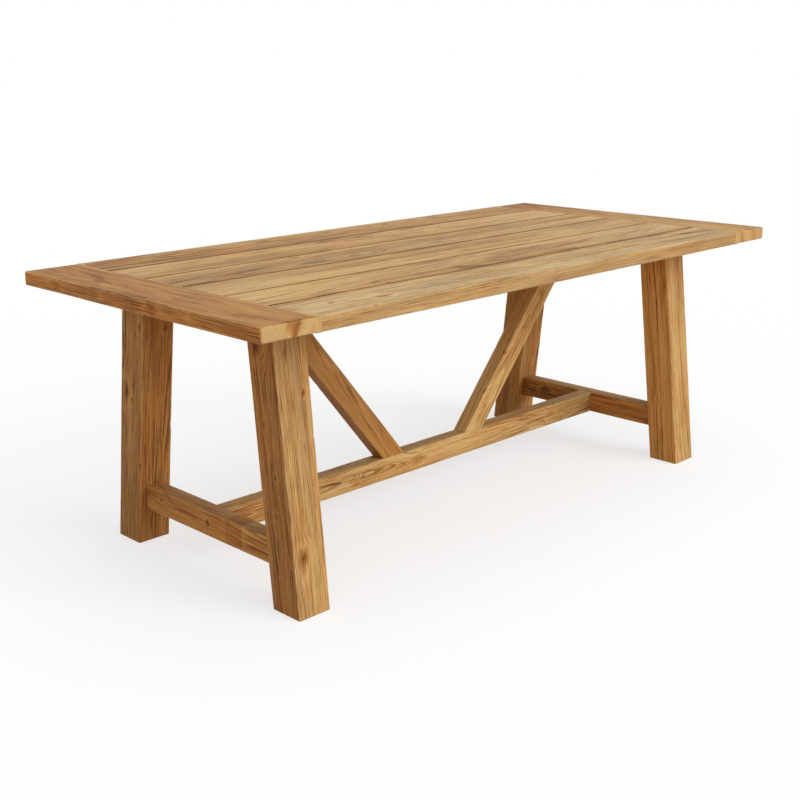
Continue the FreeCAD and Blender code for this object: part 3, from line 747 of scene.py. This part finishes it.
def teak_group():
    """Teak from its grain's place and rings. Growth bands and dark late-wood lines come from noise of the
    ring distance; fibres, streaks, clouds, stains and pores from noise stretched along the grain."""
    numbers = ("Ring", "Arris", "Light", "Warmth", "Dark", "Contrast", "Lines", "Streaks", "Broad")
    tree, g, given, out = new_group("teak figure", {"Place": "Vector"} | dict.fromkeys(numbers, "Float"),
                                    {"Color": "Color", "Roughness": "Float", "Height": "Float"})
    noise = {name: g.noise(given["Place"], *scales) for name, scales in WOOD_NOISE.items()}
    mark = {name: g.smooth(noise[name], *steps) for name, steps in MARKS.items()}
    ring = g.add(given["Ring"], g.centred(noise["wobble"], RING_WOBBLE))
    late = g.smooth(g.noise_line(ring, *LATE_LINES), *LATE_MARK)
    late = g.times(late, g.add(LEAST_LINES, mark["lined"]))
    long_streak = g.times(mark["long_streak"], mark["worn_patch"])
    dash = g.times(mark["dash"], g.add(LEAST_DASHES, mark["worn_patch"]))
    varied = g.add(g.centred(g.noise_line(ring, *WIDE_BANDS), LIGHT["band"]),
                   g.centred(noise["cloud"], LIGHT["cloud"]),
                   g.centred(noise["strand"], LIGHT["strand"]),
                   g.times(g.centred(noise["broad"], LIGHT["broad"]), given["Broad"]),
                   g.centred(noise["fibre"], LIGHT["fibre"]),
                   g.times(g.times(late, given["Lines"]), LIGHT["late"]),
                   g.times(g.times(long_streak, given["Streaks"]), LIGHT["long_streak"]),
                   g.times(g.times(dash, given["Streaks"]), LIGHT["dash"]),
                   g.times(mark["pores"], LIGHT["pores"]))
    wood = g.ramp(g.add(MIDDLE_TEAK, given["Light"], g.times(varied, given["Contrast"])), TEAK)
    stain = g.times(g.centred(noise["stain"], STAIN_WARMTH), given["Contrast"])
    warmth = g.add(given["Warmth"], stain)
    wood = g.mix(g.math("MULTIPLY", warmth, 1.0, clamp=True), wood, REDDENED, "MULTIPLY")
    wood = g.mix(g.math("MULTIPLY", warmth, GREY_SHARE, clamp=True), wood, GREYED)
    # Pale arrises: worn wood with a painted highlight
    rub_and_highlight = g.add(given["Arris"], g.centred(noise["rub_and_highlight"], RUB_AND_HIGHLIGHT_UNEVEN))
    wear = g.math("SUBTRACT", 1.0, g.smooth(rub_and_highlight, 0.0, RUB_AND_HIGHLIGHT_REACH))
    wood = g.mix(g.times(wear, WEAR_AND_HIGHLIGHT_SHARE), wood, WORN_AND_HIGHLIGHT)
    wood = g.mix(g.times(g.times(mark["chip"], wear), CHIP_SHARE), wood, CHIPPED)
    # Dark marks: glue lines and seam dirt, with painted shade in checks, seams and recesses
    wood = g.mix(g.times(given["Dark"], DARK_SHARE), wood, GLUE_DIRT_AND_SHADE)
    g.feed(out["Color"], wood)
    g.feed(out["Roughness"], g.add(ROUGH["plain"], g.centred(noise["fibre"], ROUGH["fibre"]),
                                   g.centred(noise["cloud"], ROUGH["cloud"]), g.times(wear, ROUGH["wear"])))
    raised = {"fibre": noise["fibre"], "strand": noise["strand"], "late": late, "pores": mark["pores"]}
    g.feed(out["Height"], g.add(*(g.times(raised[name], share) for name, share in RELIEF.items())))
    return tree


def principled(name):
    """A material with one Principled shader: the graph, the shader and the material."""
    material = bpy.data.materials.new(name)
    graph = empty_graph(material)
    shader = graph.node("ShaderNodeBsdfPrincipled")
    graph.end("ShaderNodeOutputMaterial", shader.outputs[0])
    return graph, shader, material


def dress(graph, shader, group, bump, values):
    """Adds the teak group with its values and links it to the shader, its height through a bump."""
    wood = graph.fill(graph.node("ShaderNodeGroup", node_tree=group), values).outputs
    raised = {"Strength": bump, "Distance": BUMP_DEPTH, "Height": wood["Height"]}
    relief = graph.out("ShaderNodeBump", raised)
    graph.fill(shader, {"Base Color": wood["Color"], "Roughness": wood["Roughness"],
                        "Specular IOR Level": TEAK_SPECULAR, "Normal": relief})


def board_teak(name, group, lines, streaks, broad=0.2):
    """Teak for a worn board, read from what the board's mesh keeps."""
    graph, shader, material = principled(name)
    place, *kept = (graph.out("ShaderNodeAttribute", {}, "Vector", attribute_name=attribute)
                    for attribute in ("grain_place", "rings", "tone"))
    rings, tone = (graph.fill(graph.node("ShaderNodeSeparateXYZ"), {0: vector}).outputs for vector in kept)
    dress(graph, shader, group, BOARD_BUMP, {
        "Place": place, "Ring": rings[0], "Arris": rings[1], "Contrast": rings[2],
        "Light": tone[0], "Warmth": tone[1], "Dark": tone[2],
        "Lines": lines, "Streaks": streaks, "Broad": broad})
    return material


# Teak of the CAD nodes that stay: where its heart lies, and how the heart's distance counts along the grain
PLAIN_HEART = (0.0, 0.02, -0.06)
PLAIN_STRETCH = (0.03, 1.0, 1.0)
PLAIN_LOOK = {"Arris": 1.0, "Dark": 0.0, "Contrast": 0.7, "Lines": 1.0, "Streaks": 0.8, "Broad": 0.3}


def plain_teak(name, group, turn, light, warm):
    """Teak for a CAD node, read from object coordinates that are turned so that the grain runs along X."""
    graph, shader, material = principled(name)
    source = graph.out("ShaderNodeTexCoord", {}, "Object")
    turned = graph.out("ShaderNodeMapping", {"Vector": source, "Rotation": turn})
    from_heart = graph.vector("MULTIPLY", graph.vector("SUBTRACT", turned, PLAIN_HEART), PLAIN_STRETCH)
    distance = graph.out("ShaderNodeVectorMath", {0: from_heart}, "Value", operation="LENGTH")
    dress(graph, shader, group, PLAIN_BUMP, PLAIN_LOOK | {
        "Place": turned, "Ring": distance, "Light": light, "Warmth": warm})
    return material


ZINC_DARK = (0.42, 0.43, 0.44, 1)
ZINC_PALE = (0.62, 0.62, 0.60, 1)
ZINC_CLOUDS = (260, 260, 3.0, 0.5)
ZINC_MARKS = (900, 900, 2.0, 0.5)
ZINC_ROUGH = (0.32, 0.25)


def zinc_steel():
    """Zinc-plated steel: a cool grey with cloudy plating and fine turning marks."""
    graph, shader, material = principled("zinc_steel")
    source = graph.out("ShaderNodeTexCoord", {}, "Object")
    marks = graph.centred(graph.noise(source, *ZINC_MARKS), ZINC_ROUGH[1])
    graph.fill(shader, {"Base Color": graph.mix(graph.noise(source, *ZINC_CLOUDS), ZINC_DARK, ZINC_PALE),
                        "Roughness": graph.add(ZINC_ROUGH[0], marks), "Metallic": 1.0})
    return material


# The table's boards

def plank_board(index):
    """A top plank between the two breadboards; the tongues at its ends stay inside them."""
    node = f"top_plank_{index}"
    low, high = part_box(node)
    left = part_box("breadboard_left")[1].x
    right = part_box("breadboard_right")[0].x
    middle_y = (low.y + high.y) / 2
    middle_z = (low.z + high.z + SKIN) / 2
    return Board(node, "top_teak", (left, middle_y, middle_z), (right, middle_y, middle_z), Y, Z,
                 (high.y - low.y, high.z - low.z - SKIN), PLANK_ARRIS, PLANK_END)


def breadboard_board(side):
    """A breadboard end across the planks, with the corners of its outer edge rounded."""
    node = f"breadboard_{side}"
    low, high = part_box(node)
    middle_x = (low.x + high.x) / 2
    middle_z = (low.z + high.z + SKIN) / 2
    before, after = BREADBOARD_INNER, BREADBOARD_OUTER
    if side == "right":
        before, after = after, before
    return Board(node, "breadboard_teak", (middle_x, low.y, middle_z), (middle_x, high.y, middle_z), -X, Z,
                 (high.x - low.x, high.z - low.z - SKIN), (before, after, after, before), BREADBOARD_END,
                 still=SIDES[side])


def leg_board(side, face):
    """A square leg that leans in, cut level at foot and head."""
    node = f"leg_{side}_{face}"
    low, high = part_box(node)
    half = (high.x - low.x) / 2
    middle_x = (low.x + high.x) / 2
    foot, head = low.y + half, high.y - half
    if face == "back":
        foot, head = head, foot
    width = 2 * half - SKIN
    return Board(node, "leg_teak", (middle_x, foot, 0.0), (middle_x, head, high.z), X, Y,
                 (width, width), LEG_ARRIS, LEG_END)


def rail_board(side):
    """A cross rail; its ends are housed in the legs. It keeps the frame's outer face and middle height."""
    node = f"cross_rail_{side}"
    low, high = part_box(node)
    half = RAIL_SECTION[0] / 2
    reach = high.y - RAIL_TENON + RAIL_HOUSED
    middle_x = low.x + half if side == "left" else high.x - half
    middle_z = (low.z + high.z) / 2
    return Board(node, "rail_teak", (middle_x, -reach, middle_z), (middle_x, reach, middle_z), -X, Z,
                 RAIL_SECTION, TIMBER_ARRIS, TIMBER_END)


def stretcher_heights():
    """Underside, middle and top of the stretcher."""
    low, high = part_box("long_stretcher")
    middle = (low.z + high.z) / 2
    half = STRETCHER_SECTION[1] / 2
    return middle - half, middle, middle + half


def stretcher_board():
    """The long stretcher between the two rails."""
    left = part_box("cross_rail_left")[0].x + RAIL_SECTION[0] - SKIN
    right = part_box("cross_rail_right")[1].x - RAIL_SECTION[0] + SKIN
    middle = stretcher_heights()[1]
    return Board("long_stretcher", "stretcher_teak", (left, 0.0, middle), (right, 0.0, middle), Y, Z,
                 STRETCHER_SECTION, TIMBER_ARRIS, TIMBER_END)


def brace_board(side):
    """A brace cut level at both ends, on the centre line of the frame's. A level cut is the thickness times
    the root of 1 + (run / rise) squared. The run is the box's width less the cut: a few rounds settle it."""
    node = f"brace_{side}"
    low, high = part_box(node)
    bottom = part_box("long_stretcher")[1].z
    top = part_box(f"top_batten_{side}")[0].z
    cut = BRACE_THICKNESS
    for _ in range(CUT_ROUNDS):
        run = high.x - low.x - cut
        cut = BRACE_THICKNESS * math.hypot(1, run / (top - bottom))
    foot, head = low.x + cut / 2, high.x - cut / 2
    if side == "left":
        foot, head = head, foot
    thick, deep = BRACE_SECTION
    seat = stretcher_heights()[2]
    foot += (head - foot) * (seat - bottom) / (top - bottom)
    return Board(node, "brace_teak", (foot, 0.0, seat), (head, 0.0, top), X, Y,
                 (cut * thick / BRACE_THICKNESS, deep), TIMBER_ARRIS, TIMBER_END)


# What each board shows, chosen from the photograph
PLANK_FIGURES = {
    1: Figure(11, seams=(1,), light=((0, 0.22), (0.25, 0.25), (0.55, 0.27), (1, 0.23)),
        warm=((0, -0.25), (1, -0.3)), contrast=1.3, sap=(-0.05, 0.0), faces=((3, -0.2, 0.0, 0.7),),
        pith=(0.03, -0.16), tilt=(0.01, 0.03), strips=((0.034, 0.21, -0.04, 0.1),),
        knots=((0.145, -0.25, 1, 0.011, 0.9), (0.075, -0.6, 1, 0.006, 0.7), (0.46, -0.8, 1, 0.008, 0.3),
            (0.885, -1, 0.2, 0.009, 0.25)),
        streaks=((0.05, 0.3, -0.22, 1, 0.005, 0.14), (0.8, 1.1, 0.3, 1, 0.007, 0.28),
            (0.84, 1.1, 0.12, 1, 0.005, 0.18), (0.0, 0.6, 0.45, 1, 0.004, 0.12),
            (0.15, 0.42, -0.93, 1, 0.01, 0.1), (0.55, 0.72, -0.9, 1, 0.008, 0.12),
            (0.7, 0.76, -1, -0.2, 0.004, 0.4))),
    2: Figure(12, seams=(-1, 1),
        light=((0, 0.22), (0.16, 0.17), (0.45, 0.14), (0.66, 0.11), (0.85, 0.24), (1, 0.26)),
        warm=((0, 0.0), (0.5, 0.05), (0.9, -0.2)), sap=(0.05, 0.0), pith=(-0.05, -0.2), tilt=(0.02, 0.03),
        streaks=((0.45, 0.75, -0.15, 1, 0.01, 0.08), (-0.1, 0.05, -0.55, 1, 0.008, 0.2),
            (0.3, 0.75, 0.35, 1, 0.005, 0.09), (0.1, 0.5, -0.5, 1, 0.004, 0.09))),
    3: Figure(13, seams=(-1, 1), light=((0, 0.24), (0.2, 0.24), (0.5, 0.18), (0.8, 0.2), (1, 0.16)),
        warm=((0, 0.0), (1, -0.05)), sap=(-0.06, 0.0), pith=(0.04, -0.18), tilt=(-0.02, 0.02),
        strips=((0.008, 0.17, -0.06, -0.05),),
        streaks=((0.14, 0.45, 0.12, 1, 0.006, 0.16), (0.0, 0.9, 0.0, 1, 0.003, 0.12),
            (0.45, 0.9, -0.5, 1, 0.004, 0.09))),
    4: Figure(14, seams=(-1, 1), light=((0, 0.16), (0.25, 0.12), (0.5, 0.15), (0.8, 0.14), (1, 0.15)),
        warm=((0, -0.15), (0.5, -0.22), (1, -0.12)), pith=(-0.03, -0.15), tilt=(0.02, 0.03),
        strips=((-0.005, 0.19, -0.05, 0.07),),
        knots=((0.27, 0.72, 1, 0.01, 0.5),),
        streaks=((-0.1, 0.3, -0.3, 1, 0.006, 0.14), (0.2, 1.0, 0.02, 1, 0.004, 0.12),
            (-0.1, 0.16, -0.85, 1, 0.008, 0.1), (0.35, 0.8, 0.5, 1, 0.004, 0.1))),
    5: Figure(15, seams=(-1, 1), light=((0, 0.18), (0.15, 0.14), (0.4, 0.12), (0.7, 0.21), (1, 0.26)),
        warm=((0, -0.12), (0.3, 0.12), (0.7, -0.05), (1, -0.15)), sap=(0.02, 0.0), pith=(0.05, -0.17),
        tilt=(0.01, 0.03),
        knots=((0.31, -0.5, 1, 0.006, 0.6), (0.43, 0.4, 1, 0.007, 0.5)),
        streaks=((0.05, 0.3, -0.35, 1, 0.01, 0.1), (0.4, 0.6, -0.8, 1, 0.007, 0.12),
            (0.72, 0.82, -0.9, 1, 0.01, 0.22), (0.1, 0.6, 0.2, 1, 0.004, 0.1))),
    6: Figure(16, seams=(-1,), light=((0, -0.02), (0.25, 0.01), (0.6, 0.08), (1, 0.05)),
        warm=((0, 0.12), (1, 0.05)), sap=(0.03, 0.0), faces=((1, -0.1, 0.2, 0.5),), pith=(0.03, -0.1),
        tilt=(0.02, 0.04),
        streaks=((-0.1, 0.2, 0.3, 1, 0.008, 0.18), (-0.1, 0.24, -0.45, 1, 0.008, 0.16),
            (0.03, 0.3, -0.05, 1, 0.005, 0.14), (0.25, 0.85, -0.9, 1, 0.01, 0.12))),
}
BREADBOARD_FIGURES = {
    "left": Figure(21, light=((0, -0.02), (0.5, -0.04), (1, -0.05)), warm=((0, 0.34), (1, 0.32)),
        sap=(-0.01, 0.02), contrast=0.9, faces=((1, 0.06, 0.48, 1.1),), pith=(0.02, -0.25),
        tilt=(0.01, 0.02), end_tone=(0.29, -0.6),
        knots=((0.836, 1, 0.1, 0.012, 0.5), (0.4, 1, 0.1, 0.013, 0.6)),
        bands=((-0.24, -0.16, 0.34, 0.08, 0.38), (-0.38, -0.22, 0.1, 0.06, 0.14),
            (0.0, 0.1, 0.08, 0.05, 0.1), (-0.95, -0.8, 0.1, 0.06, 0.1)),
        streaks=((0.2, 0.9, 0.75, 1, 0.006, 0.08), (0.6, 0.64, 1, 0.1, 0.011, -0.3),
            (0.24, 0.28, 1, 0.1, 0.011, -0.3))),
    "right": Figure(22, light=((0, 0.1), (0.5, 0.06), (0.85, -0.06), (1, -0.14)), contrast=0.9,
        warm=((0, 0.0), (0.7, 0.08), (1, 0.45)), sap=(0.04, 0.0), pith=(0.0, -0.22), tilt=(0.01, 0.03),
        faces=((3, -0.08, 0.2, 0.7),), end_tone=(0.08, -0.2),
        bands=((0.75, 0.6, 0.16, 0.1, 0.22), (-0.1, -0.3, 0.2, 0.2, 0.12))),
}
LEG_FIGURES = {
    ("left", "front"): Figure(31, light=((0, 0.05), (0.3, 0.05), (0.8, 0.04), (1, 0.01)),
        warm=((0, 0.0), (1, 0.06)),
        faces=((3, -0.09, 0.44, 0.7), (0, 0.07, -0.18, 0.85), (1, 0.0, 0.1, 0.8)), pith=(0.09, 0.06),
        tilt=(0.02, -0.05), fine=1.4, strips=((0.028, 0.23, -0.02, 0.28),),
        knots=((0.205, -0.4, -1, 0.013, 0.8), (0.9, -1, 0.35, 0.014, 0.8), (0.745, 0.55, -1, 0.005, 0.9),
            (0.47, -1, -0.2, 0.004, 0.8), (0.34, -1, 0.0, 0.004, 0.8), (0.64, -1, 0.3, 0.004, 0.7)),
        streaks=((0.6, 0.97, 0.45, -1, 0.003, 0.2), (0.2, 0.6, 0.4, -1, 0.003, 0.12),
            (0.84, 0.93, -0.35, -1, 0.003, 0.26), (0.86, 0.93, 0.0, -1, 0.003, 0.24),
            (0.4, 0.62, -0.3, -1, 0.004, 0.1), (0.5, 0.98, -1, 0.45, 0.004, 0.1)),
        checks=((0, -0.012, 0.84, 0.95, 0.0012),), wear=1.6),
    ("left", "back"): Figure(32, light=((0, 0.02), (0.5, 0.02), (1, 0.03)), warm=((0, 0.14), (1, 0.08)),
        blush=(0.0, -0.2), faces=((3, -0.02, 0.1, 0.9), (0, 0.0, 0.28, 0.85)), pith=(0.08, 0.09),
        tilt=(0.04, 0.02), fine=1.4,
        knots=((0.6, -1, 0.42, 0.013, 0.8), (0.57, -1, -0.05, 0.005, 0.8), (0.86, -1, -0.72, 0.006, 0.8),
            (0.93, -0.2, -1, 0.008, 0.5), (0.84, 0.5, -1, 0.007, 0.6)),
        streaks=((0.72, 0.96, -1, 0.62, 0.003, 0.22), (0.5, 0.95, -1, -0.15, 0.005, 0.1),
            (0.35, 0.75, -1, 0.5, 0.004, 0.12)), wear=1.3),
    # Face 3, turned to -X under the top, is painted lighter and warmer: painted light on a face in shade
    ("right", "front"): Figure(33, light=((0, 0.06), (0.5, 0.07), (0.85, 0.06), (1, 0.0)),
        warm=((0, 0.18), (0.75, 0.14), (1, 0.45)), pith=(0.09, 0.08), tilt=(0.03, -0.05), fine=1.4,
        faces=((3, 0.21, 0.75, 0.95), (0, 0.13, -0.08, 0.85)),
        knots=((0.28, -1, 0.5, 0.005, 0.5),),
        streaks=((0.05, 0.95, -1, -0.1, 0.004, 0.12), (0.3, 0.7, -1, 0.45, 0.005, 0.12),
            (0.76, 0.86, -1, -0.8, 0.005, 0.36), (0.1, 0.8, 0.2, -1, 0.003, 0.1)), wear=1.4),
    ("right", "back"): Figure(34, light=((0, 0.03), (1, 0.0)), warm=0.55, pith=(0.07, 0.09), contrast=0.8,
        tilt=(0.03, 0.03), fine=1.4,
        streaks=((0.1, 0.9, 0.1, -1, 0.004, 0.12), (0.0, 0.6, -1, 0.2, 0.004, 0.12)), wear=1.2),
}
RAIL_FIGURES = {
    "left": Figure(41, bore=1,
        light=((0, 0.12), (0.245, 0.12), (0.247, -0.03), (0.365, -0.03), (0.367, 0.06), (1, 0.04)),
        warm=((0, 0.05), (0.245, 0.05), (0.247, 0.5), (0.365, 0.5), (0.367, 0.24), (1, 0.3)),
        faces=((1, 0.07, 0.6, 1.0), (2, 0.09, 0.08, 0.8)), splices=(0.246, 0.366), pith=(0.1, 0.05),
        tilt=(0.03, 0.02), fine=1.3,
        knots=((0.86, 1, 0.3, 0.007, 0.6),),
        streaks=((0.02, 0.24, 1, 0.35, 0.004, 0.24), (0.02, 0.24, 1, -0.35, 0.004, 0.22),
            (0.05, 0.22, 1, 0.05, 0.003, 0.14), (0.55, 0.75, 1, 0.1, 0.004, 0.18),
            (0.75, 1.1, 1, 0.55, 0.006, 0.1))),
    "right": Figure(42, bore=-1, light=((0, 0.02), (0.5, 0.0), (1, -0.03)), warm=0.3, pith=(0.05, 0.08),
        tilt=(0.02, 0.03), fine=1.3,
        faces=((1, 0.05, 0.9, 1.2), (2, 0.06, -0.2, 0.8), (3, 0.03, 0.0, 0.8)),
        knots=((0.8, 1, 0.2, 0.009, 0.9),),
        streaks=((0.55, 0.95, 1, -0.3, 0.005, 0.24), (0.05, 0.4, 1, 0.2, 0.004, 0.2))),
}
STRETCHER_FIGURE = Figure(51, light=((0, 0.05), (0.1, 0.1), (0.5, 0.11), (1, 0.1)),
    warm=((0, 0.35), (0.16, 0.06), (1, 0.06)), faces=((3, 0.09, 0.04, 1.05), (2, 0.06, -0.2, 0.8)),
    pith=(0.018, 0.002), tilt=(0.034, 0.004),
    knots=((0.455, -1, -0.1, 0.012, 0.45), (0.86, -1, 0.1, 0.012, 0.35), (0.29, -1, -0.45, 0.007, 0.6)),
    streaks=((0.4, 0.95, -1, -0.85, 0.004, 0.12), (0.27, 0.33, -1, -0.3, 0.008, 0.2)))
BRACE_FIGURES = {
    "left": Figure(61, light=((0, 0.01), (0.6, -0.02), (1, -0.03)),
        warm=((0, 0.38), (0.6, 0.1), (1, 0.24)), faces=((0, 0.02, 0.08, 0.55), (3, -0.03, 0.35, 0.7)),
        pith=(0.03, 0.05), tilt=(0.02, 0.04),
        streaks=((0.55, 0.7, 0.35, -1, 0.012, -0.08),)),
    # Face 3, turned up to -X under the top, is painted lighter: painted light on a face in shade
    "right": Figure(62, light=((0, 0.14), (0.45, 0.12), (0.7, 0.04), (1, 0.0)),
        warm=((0, 0.24), (1, 0.2)), faces=((3, 0.22, 0.14, 0.8), (0, 0.17, -0.04, 0.95)),
        pith=(0.0, 0.05), tilt=(0.02, 0.04),
        knots=((0.22, -1, -0.8, 0.005, 0.8), (0.42, -1, -0.85, 0.006, 0.7)),
        streaks=((0.0, 0.22, -0.3, -1, 0.008, 0.24), (0.35, 0.7, 0.2, -1, 0.004, 0.2),
            (0.0, 0.15, 0.4, -1, 0.005, 0.24))),
}


def slip_notches(face):
    """The two notches at a plank's ends that the slips fill."""
    low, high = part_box("joint_slips")
    deep = SLIP_DEPTH + SLIP_GAP
    span = SLIP_WIDTH + SLIP_GAP
    near, far = low.y - CUT_PAST, low.y + deep
    if face == "back":
        near, far = high.y - deep, high.y + CUT_PAST
    spans = ((low.x - CUT_PAST, low.x + span), (high.x - span, high.x + CUT_PAST))
    under, over = low.z - CUT_PAST, high.z + CUT_PAST
    return [block_rows((start, near, under), (end, far, over)) for start, end in spans]


def build_top(group):
    """The planks with notches for the slips at their outer edges, and the breadboards."""
    plank_teak = board_teak("plank_teak", group, lines=0.75, streaks=0.9, broad=0.55)
    end_teak = board_teak("breadboard_end_teak", group, lines=0.55, streaks=0.45, broad=0.3)
    edges = {1: "front", PLANKS: "back"}
    for index, figure in PLANK_FIGURES.items():
        cutters = slip_notches(edges[index]) if index in edges else ()
        make_board(plank_board(index), figure, plank_teak, cutters)
    for side in SIDES:
        make_board(breadboard_board(side), BREADBOARD_FIGURES[side], end_teak)


def build_trestles(group):
    """Legs, rails, stretcher and braces. The rails keep the recess of their plug, and the stretcher the
    pockets of the braces' screws."""
    leg_teak = board_teak("worn_leg_teak", group, lines=0.9, streaks=0.9)
    rail_teak = board_teak("worn_rail_teak", group, lines=0.9, streaks=0.9)
    stretcher_teak = board_teak("worn_stretcher_teak", group, lines=0.85, streaks=0.7)
    brace_teak = board_teak("worn_brace_teak", group, lines=0.9, streaks=0.8)
    for (side, face), figure in LEG_FIGURES.items():
        make_board(leg_board(side, face), figure, leg_teak)
    for side, sign in SIDES.items():
        board = rail_board(side)
        low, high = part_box(board.node)
        face_x = low.x if sign < 0 else high.x
        centre = np.array([face_x, 0.0, (low.z + high.z) / 2])
        recess = bore_rows(centre, sign * X, Y, PLUG_RADIUS, PLUG_DEPTH)
        make_board(board, RAIL_FIGURES[side], rail_teak, [recess])
        make_board(brace_board(side), BRACE_FIGURES[side], brace_teak)
    under = stretcher_heights()[0]
    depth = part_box("long_stretcher")[0].z + POCKET_DEPTH - under
    pockets = [bore_rows(np.array([sign * BRACE_FOOT, 0.0, under]), -Z, X, POCKET_RADIUS, depth)
               for sign in SIDES.values()]
    make_board(stretcher_board(), STRETCHER_FIGURE, stretcher_teak, pockets)


# Teak of the CAD nodes that stay: the starts of their names, how the grain is turned along X, light and warm
GRAIN_X = (0, 0, 0)
GRAIN_Y = (0, 0, math.radians(-90))
GRAIN_Z = (0, math.radians(90), 0)
PLAIN_TEAKS = {
    "hidden_teak_across": (("top_batten", "top_bearer"), GRAIN_Y, 0.0, 0.1),
    "hidden_teak_along": ("plank_spline", GRAIN_X, 0.0, 0.1),
    "pale_slip_teak": ("joint_slips", GRAIN_Z, 0.26, -0.15),
    "peg_end_teak": (("breadboard_pegs", "bearer_pegs", "rail_pegs"), GRAIN_Z, -0.06, 0.15),
    "plug_teak": ("bolt_plugs", GRAIN_Y, 0.07, 0.0),
}
STEEL_NODES = ("batten_screws", "bearer_screws", "brace_screws", "stretcher_bolts")


def dress_nodes(group):
    """Materials for the CAD nodes that stay: battens, bearers, splines, slips, pegs, plugs and steel."""
    dressed = [(starts, plain_teak(name, group, *look)) for name, (starts, *look) in PLAIN_TEAKS.items()]
    dressed.append((STEEL_NODES, zinc_steel()))
    for name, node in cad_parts.items():
        for starts, material in dressed:
            if name.startswith(starts):
                set_material(node.data, material)


# Studio

# The place is in metres, angles are in degrees, and pixels are those of the photograph
CAMERA_PLACE = (-2.60814, -2.45681, 1.32409)
CAMERA_YAW = -43.82
CAMERA_PITCH = -13.15
CAMERA_ROLL = -0.44
FOCAL_PIXELS = 1218.75
CENTRE_PIXEL = (370, 340)
PICTURE = 800
SENSOR = 36.0
WHITE = (1, 1, 1, 1)
FLOOR_HALF = 60.0
FLOOR_GLOW = 0.68
FLOOR_BOUNCE = (0.74, 0.61, 0.47, 1)
SURROUND = (0.36, 0.36, 0.36, 1)
# Soft distant lamps: where each shines from, its strength, and its angle in degrees
LAMPS = {
    "key": ((0.30, -0.86, 0.40), 1.75, 40),
    "top": ((0.05, -0.20, 1.00), 1.20, 70),
    "fill": ((-0.80, -0.55, 0.22), 0.55, 60),
}


def set_camera():
    """The photograph's viewpoint. The shift puts the optical axis at its pixel."""
    data = bpy.data.cameras.new("camera")
    data.sensor_width = SENSOR
    data.lens = FOCAL_PIXELS * SENSOR / PICTURE
    data.shift_x = (PICTURE / 2 - CENTRE_PIXEL[0]) / PICTURE
    data.shift_y = (CENTRE_PIXEL[1] - PICTURE / 2) / PICTURE
    camera = add_object("camera", data)
    turn = Matrix.Rotation(math.radians(CAMERA_YAW), 4, "Z")
    turn = turn @ Matrix.Rotation(math.radians(90 + CAMERA_PITCH), 4, "X")
    turn = turn @ Matrix.Rotation(math.radians(CAMERA_ROLL), 4, "Z")
    camera.matrix_world = Matrix.Translation(CAMERA_PLACE) @ turn
    bpy.context.scene.camera = camera


def background_rays(graph):
    """1 for rays that see the background directly, in gloss or through glass."""
    rays = graph.node("ShaderNodeLightPath").outputs
    seen = graph.math("MAXIMUM", rays["Is Camera Ray"], rays["Is Glossy Ray"])
    return graph.math("MAXIMUM", seen, rays["Is Transmission Ray"])


def floor_material():
    """White. Seen directly it is partly lit by itself, so that it stays white and keeps a soft shadow; its
    bounce on the wood is a warm pale one. It is clear from below."""
    material = bpy.data.materials.new("studio_floor")
    graph = empty_graph(material)
    lit, bounce = (graph.out("ShaderNodeBsdfDiffuse", {"Color": colour}) for colour in (WHITE, FLOOR_BOUNCE))
    seen = graph.mix_shaders(FLOOR_GLOW, lit, graph.out("ShaderNodeEmission", {}))
    above = graph.mix_shaders(background_rays(graph), bounce, seen)
    below = graph.out("ShaderNodeNewGeometry", {}, "Backfacing")
    clear = graph.out("ShaderNodeBsdfTransparent", {})
    graph.end("ShaderNodeOutputMaterial", graph.mix_shaders(below, above, clear))
    return material


def set_floor():
    """A wide square floor."""
    corners = FLOOR_HALF * np.array([(-1, -1, 0), (1, -1, 0), (1, 1, 0), (-1, 1, 0)])
    mesh = make_mesh("studio_floor", corners.tolist(), [(0, 1, 2, 3)])
    floor = add_object("studio_floor", mesh)
    mesh.materials.append(floor_material())


def set_light():
    """A soft key from the front right, a lamp overhead, a weak fill from the left, and an even surround."""
    for name, (towards, strength, angle) in LAMPS.items():
        data = bpy.data.lights.new(name, "SUN")
        data.energy = strength
        data.angle = math.radians(angle)
        x, y, z = np.array(towards) / np.linalg.norm(towards)
        add_object(name, data).rotation_euler = (0.0, math.acos(z), math.atan2(y, x))
    world = bpy.data.worlds.new("studio")
    graph = empty_graph(world)
    colour = graph.mix(background_rays(graph), SURROUND, WHITE)
    graph.end("ShaderNodeOutputWorld", graph.out("ShaderNodeBackground", {"Color": colour}))
    bpy.context.scene.world = world


teak = teak_group()
build_top(teak)
build_trestles(teak)
dress_nodes(teak)
set_camera()
set_floor()
set_light()
bpy.context.scene.view_settings.view_transform = "Standard"
